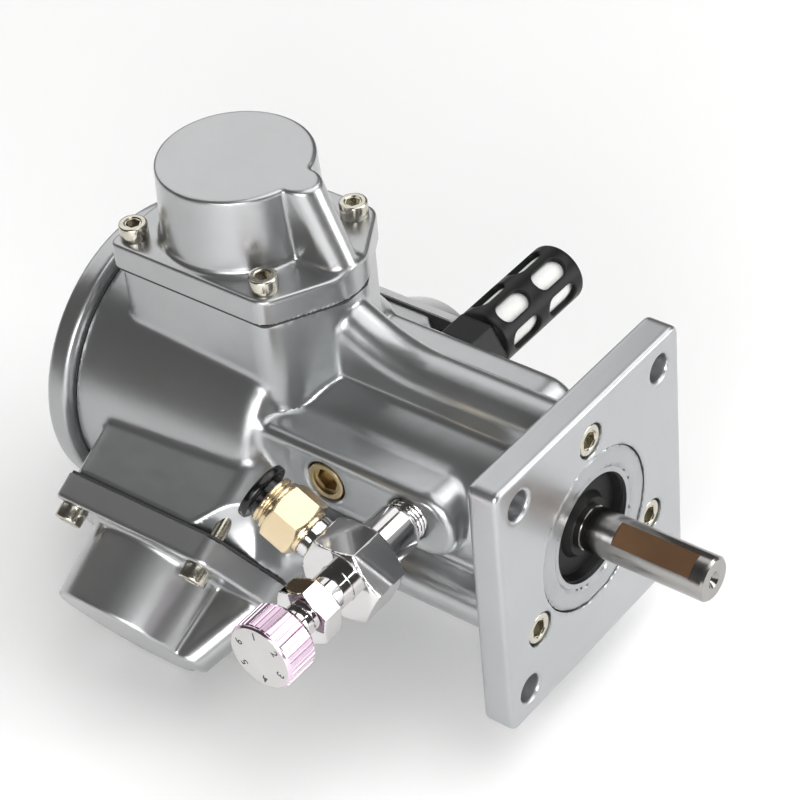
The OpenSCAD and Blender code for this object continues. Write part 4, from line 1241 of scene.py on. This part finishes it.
@dataclass
class TubeFitting:
    """The push-in fitting with its polished nose and release ring."""

    work: Workshop
    cell: float = 0.3
    space: Space = ((-10.5, -10.5, 15), (10.5, 10.5, 32))
    ring_space: Space = ((-9.6, -9.6, 24.4), (9.6, 9.6, 36.3))
    foot: tuple[float, float, float, float] = (15.7, 17.5, 7, 0.2)
    start: float = 16.9
    end: float = 27.4
    across: float = 17.0
    bevel: float = math.radians(32)
    nose: float = 31.3
    nose_r: float = 7.7
    groove: tuple[float, float] = (2.1, 0.6)
    ring: tuple[float, float, float] = (33.1, 35.7, 9.0)
    tube_r: float = 5.05

    def frame(self) -> Matrix:
        """Frame on the fitting's axis."""
        c, s = math.cos(BRANCH_TILT), math.sin(BRANCH_TILT)
        return along((FRONT_PORT_X, -BRANCH_OUT, PORT_HEIGHT), (-c, 0, s), (s, 0, c))

    def form(self, u: Array, v: Array, t: Array) -> Array:
        """Distances to the brass fitting, t running out along its axis."""
        r = np.hypot(u, v)
        form = rod(t, r, *self.foot)
        bar = common(hexagon(u, v, self.across, 15), np.maximum(self.start - t, t - self.end), 0.2)
        c, s = math.cos(self.bevel), math.sin(self.bevel)
        for gap in (self.start - t, t - self.end):
            bar = common(bar, (r - self.across / 2 + 0.1) * s + gap * c, 0.2)
        form = join(form, bar)
        form = join(form, rod(t, r, self.end - 1, self.end + 1.3, self.across / 2 - 0.3, 0.4))
        form = join(form, rod(t, r, self.end, self.nose, self.nose_r, 0.4))
        ahead, groove_r = self.groove
        form = cut(form, np.hypot(r - self.nose_r, t - self.end - ahead) - groove_r, 0.1)
        for start, radius in ((14, 3.4), (19, self.tube_r), (23, 6.6)):
            form = np.maximum(form, -np.maximum(r - radius, start - t))
        return form

    def ring_form(self, u: Array, v: Array, t: Array) -> Array:
        """Distances to the release ring with the sleeve that it presses."""
        r = np.hypot(u, v)
        start, end, radius = self.ring
        form = join(rod(t, r, 25, start + 1, 6.35), rod(t, r, start, end, radius, 0.8), 0.2)
        return cut(form, r - self.tube_r, 0.3)

    def build(self) -> None:
        """Makes the fitting and its ring."""
        for name, node, form, space, finish in (
            ("fitting_brass", "tube_fitting", self.form, self.space, PALE_BRASS),
            ("release_collar", "release_ring", self.ring_form, self.ring_space, BLACK_ACETAL),
        ):
            self.work.wrap(name, node, form, space, self.cell, finish, self.frame())


@dataclass
class PortPlugs:
    """The threaded plugs that close the ports not in use."""

    work: Workshop
    cell: float = 0.25
    space: Space = ((-7, -7, -10), (7, 7, 0.5))
    radius: float = 6.35
    face: float = -0.5
    end: float = -9.5
    socket: float = 6.6
    spots: tuple[tuple[str, float, float], ...] = (
        ("exhaust_plug", REAR_PORT_X, -1.0), ("inlet_plug", FRONT_PORT_X, 1.0),
    )

    def form(self, u: Array, v: Array, t: Array) -> Array:
        """Distances to a plug, t running out of the port from its face."""
        r = np.hypot(u, v)
        form = rod(t, r, self.end, self.face, self.radius, 0.5)
        form = cut(form, (r - 5.0 - t) * SLANT, 0.2)
        form = cut(form, np.maximum(r - 4.5, -1.7 - t), 0.1)
        return cut(form, np.maximum(hexagon(u, v, self.socket, 10), -6 - t), 0.15)

    def build(self) -> None:
        """Makes both plugs."""
        for node, x, side in self.spots:
            place = along((x, PORT_FACE * side, PORT_HEIGHT), (0, side, 0), (1, 0, 0))
            self.work.wrap(node + "_turned", node, self.form, self.space, self.cell, YELLOW_ZINC, place)


@dataclass
class Silencer:
    """The black silencer with its slotted cage and white sintered lining."""

    work: Workshop
    cell: float = 0.5
    space: Space = ((-11.5, -11.5, -11), (11.5, 11.5, 55.5))
    radius: float = 10.0
    inner_r: float = 8.0
    hollow: tuple[float, float] = (13, 51.5)
    mouth_r: float = 6.9
    thread: tuple[float, float, float, float] = (-10, 2, 6.6, 0.4)
    duct: tuple[float, float, float] = (-12, 42, 4.4)
    reach: float = 54.0
    hex_l: float = 11.0
    across: float = 19.0
    slot: tuple[float, float] = (6.6, 14.0)
    slot_centres: tuple[float, float] = (23.3, 42.3)
    columns: int = 6

    def form(self, u: Array, v: Array, t: Array) -> Array:
        """Distances to the cage, t running out along its axis."""
        r = np.hypot(u, v)
        form = rod(t, r, *self.thread)
        form = join(form, common(hexagon(u, v, self.across, 0), np.maximum(-t, t - self.hex_l), 0.5))
        barrel = common(r - self.radius, t - self.reach, 1.2)
        barrel = np.maximum(barrel, (self.hex_l - 1) - t)
        form = join(form, common(barrel, (r - self.radius + self.hex_l + 2 - t) * SLANT, 0.5), 0.5)
        form = cut(form, np.maximum(r - self.mouth_r, self.reach - 0.7 - t), 0.3)
        for start, end, radius in ((*self.hollow, self.inner_r), self.duct):
            form = np.maximum(form, -rod(t, r, start, end, radius))
        part = math.tau / self.columns
        angle = np.mod(np.arctan2(v, u) + part / 2, part) - part / 2
        width, length = self.slot
        for centre in self.slot_centres:
            stretch = np.maximum(np.abs(t - centre) - (length - width) / 2, 0)
            hole = np.hypot(r * np.sin(angle), stretch) - width / 2
            form = cut(form, np.maximum(hole, 7 - r), 0.5)
        return form

    def build(self) -> None:
        """Makes the cage and dresses its lining."""
        place = along((REAR_PORT_X, PORT_FACE, PORT_HEIGHT), (0, 1, 0), (1, 0, 0))
        name, node = "silencer_cage_moulded", "silencer_cage"
        self.work.wrap(name, node, self.form, self.space, self.cell, BLACK_NYLON, place)
        self.work.keep(["silencer_liner"], SINTERED)


@dataclass
class RunningGear:
    """The parts inside the casting and the shaft."""

    work: Workshop
    kept: tuple[tuple[Finish, tuple[str, ...]], ...] = (
        (SHAFT_STEEL, ("crankshaft", "rear_crank_web", "valve_key", "orbit_ring", "rotary_valve")),
        (BRONZE, ("valve_sleeve", "orbit_bush", "gallery_ball")),
        (BEARING_STEEL, tuple(f"{n}_bearing_{race}" for n in BEARINGS for race in ("outer", "inner"))),
        (CAST_IRON, tuple(f"{part}_{n}" for part in ("cylinder_liner", "piston_rings") for n in (1, 2, 3))),
        (TURNED_ALUMINIUM, ("piston_1", "piston_2", "piston_3")),
    )
    balls: int = 8
    flat: tuple[float, float] = (9.0, 36.0)
    flat_reach: float = 6.6

    def build(self) -> None:
        """Dresses the kept nodes and makes the bearings' balls."""
        for finish, nodes in self.kept:
            self.work.keep(nodes, finish)
        self.tint_flat_as_reflection(self.work.frame["nodes"]["crankshaft"])
        for place in BEARINGS:
            self.ball_set(f"{place}_bearing_balls")

    def tint_flat_as_reflection(self, shaft: bpy.types.Object) -> None:
        """Gives the shaft's milled flat a brown tint that is a painted reflection.

        Args:
            shaft: The crankshaft, its output end toward +X.
        """
        # The flat's brown colour is a painted reflection, not a film on the steel
        shaft.data.materials.append(BROWN_REFLECTION_STEEL.build())
        low, high = self.flat
        marked = 0
        for face in shaft.data.polygons:
            middle = shaft.matrix_world @ face.center / MM
            depth = math.hypot(middle.y, middle.z)
            if low < middle.x < high and abs(face.normal.x) < 0.2 and depth < self.flat_reach:
                face.material_index = 1
                marked += 1
        log.info("flat: %d faces", marked)

    def ball_set(self, node: str) -> None:
        """Makes one ring of balls in the place of a CAD node."""
        low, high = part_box(node)
        radius = (high.x - low.x) / 2 / MM
        ring = (high.z - low.z) / 2 / MM - radius
        arc = [(radius * math.sin(math.pi * i / 10), -radius * math.cos(math.pi * i / 10)) for i in range(11)]
        arc[0], arc[-1] = (0, -radius), (0, radius)
        ball = object_of(node + "_ground", *lathe(arc, 20))
        place = along(((low.x + high.x) / 2 / MM, 0, 0), (1, 0, 0), (0, 0, 1))
        repeat(ball, Spread.RING, self.balls, ring, BEARING_STEEL.build(), place)
        self.work.place(ball, node, None)


@dataclass
class Studio:
    """Camera at the photograph's place, pale floor and soft lights."""

    floor_z: float
    camera_at: tuple[float, float, float] = (0.34863, -0.48412, 0.53787)
    camera_turn: tuple[float, float, float] = (50.7479, 4.4779, 37.1104)
    lens: float = 125.595

    def build(self) -> None:
        """Sets the stage."""
        scene = bpy.context.scene
        eye = bpy.data.cameras.new("camera")
        eye.lens, eye.sensor_width = self.lens, 36.0
        eye.clip_start, eye.clip_end = 0.01, 50
        camera = bpy.data.objects.new("camera", eye)
        camera.location = self.camera_at
        camera.rotation_euler = Euler([math.radians(a) for a in self.camera_turn])
        scene.collection.objects.link(camera)
        scene.camera = camera
        scene.view_settings.view_transform = "Standard"
        self.floor()
        self.world()
        self.light("overhead", (0.85, 0.55, 2.0), 2.3, 2.3, 2.1)
        self.light("behind", (0.2, 0.8, 0.95), 0.8, 0.5, 1.6)
        self.light("floor wash", (0.2, -0.45, 0.22), 0.25, 0.25, 9.0, (0.15, -0.36, -0.08))
        self.light("far left", (-0.9, 0.38, 0.8), 1.3, 1.1, 1.25)
        self.light("far right", (1.0, 0.6, 0.22), 0.7, 0.7, 5.0)
        self.light("near", (0.35, -1.0, 0.38), 0.9, 0.7, 2.5)

    def light(
        self, name: str, at: Sequence[float], width: float, height: float, glow: float,
        toward: Sequence[float] = (-0.08, 0, 0),
    ) -> None:
        """Adds a soft box.

        Args:
            name: Name of the light.
            at: Its place in metres.
            width: Its width in metres.
            height: Its height in metres.
            glow: Its brightness as the motor reflects it, 1 being white.
            toward: Point that it faces, in metres.
        """
        lamp = bpy.data.lights.new(name, "AREA")
        lamp.shape, lamp.size, lamp.size_y = "RECTANGLE", width, height
        lamp.energy = glow * math.pi * width * height
        made = bpy.data.objects.new(name, lamp)
        made.location = at
        aim = Vector(toward) - Vector(at)
        made.rotation_euler = aim.to_track_quat("-Z", "Y").to_euler()
        bpy.context.scene.collection.objects.link(made)

    def floor(self) -> None:
        """Adds the pale floor."""
        size = 12000.0
        points = np.array([(-size, -size, 0), (size, -size, 0), (size, size, 0), (-size, size, 0)])
        points[:, 2] = self.floor_z / MM
        floor = object_of("floor", points, [[0, 1, 2, 3]])
        material = bpy.data.materials.new("matt white paper")
        material.use_nodes = True
        shader = material.node_tree.nodes["Principled BSDF"]
        shader.inputs["Base Color"].default_value = linear("#FAFAFA")
        shader.inputs["Roughness"].default_value = 0.9
        shader.inputs["Specular IOR Level"].default_value = 0.1
        floor.data.materials.append(material)
        floor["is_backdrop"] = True

    def world(self) -> None:
        """Lights the room softly, with a darker band low down for the metal to reflect."""
        world = bpy.data.worlds.new("room")
        bpy.context.scene.world = world
        world.use_nodes = True
        tree = world.node_tree
        tree.nodes.clear()
        look = add(tree, "ShaderNodeTexCoord").outputs["Generated"]
        up = add(tree, "ShaderNodeSeparateXYZ", {0: look}).outputs[2]
        ramp = add(tree, "ShaderNodeValToRGB", {0: up})
        ramp.color_ramp.elements[0].color = linear("#5E5B58")
        ramp.color_ramp.elements[1].position = 0.8
        ramp.color_ramp.elements[1].color = linear("#4C4B4A")
        back = add(tree, "ShaderNodeBackground", {"Color": ramp.outputs[0], "Strength": 1.0})
        add(tree, "ShaderNodeOutputWorld", {"Surface": back.outputs[0]})


def main() -> None:
    """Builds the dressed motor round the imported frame."""
    logging.basicConfig(level=logging.INFO, format="%(message)s")
    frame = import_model()
    cad_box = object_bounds()
    work = Workshop(frame)
    Studio(floor_z=cad_box[0][2]).build()
    for part in (
        Casting(work), CylinderHeads(work), RearCover(work), FlangePlate(work), FlowValve(work),
        TubeFitting(work), PortPlugs(work), Silencer(work), RunningGear(work),
    ):
        part.build()
        log.info("built %s", type(part).__name__)


if __name__ == "__main__":
    main()
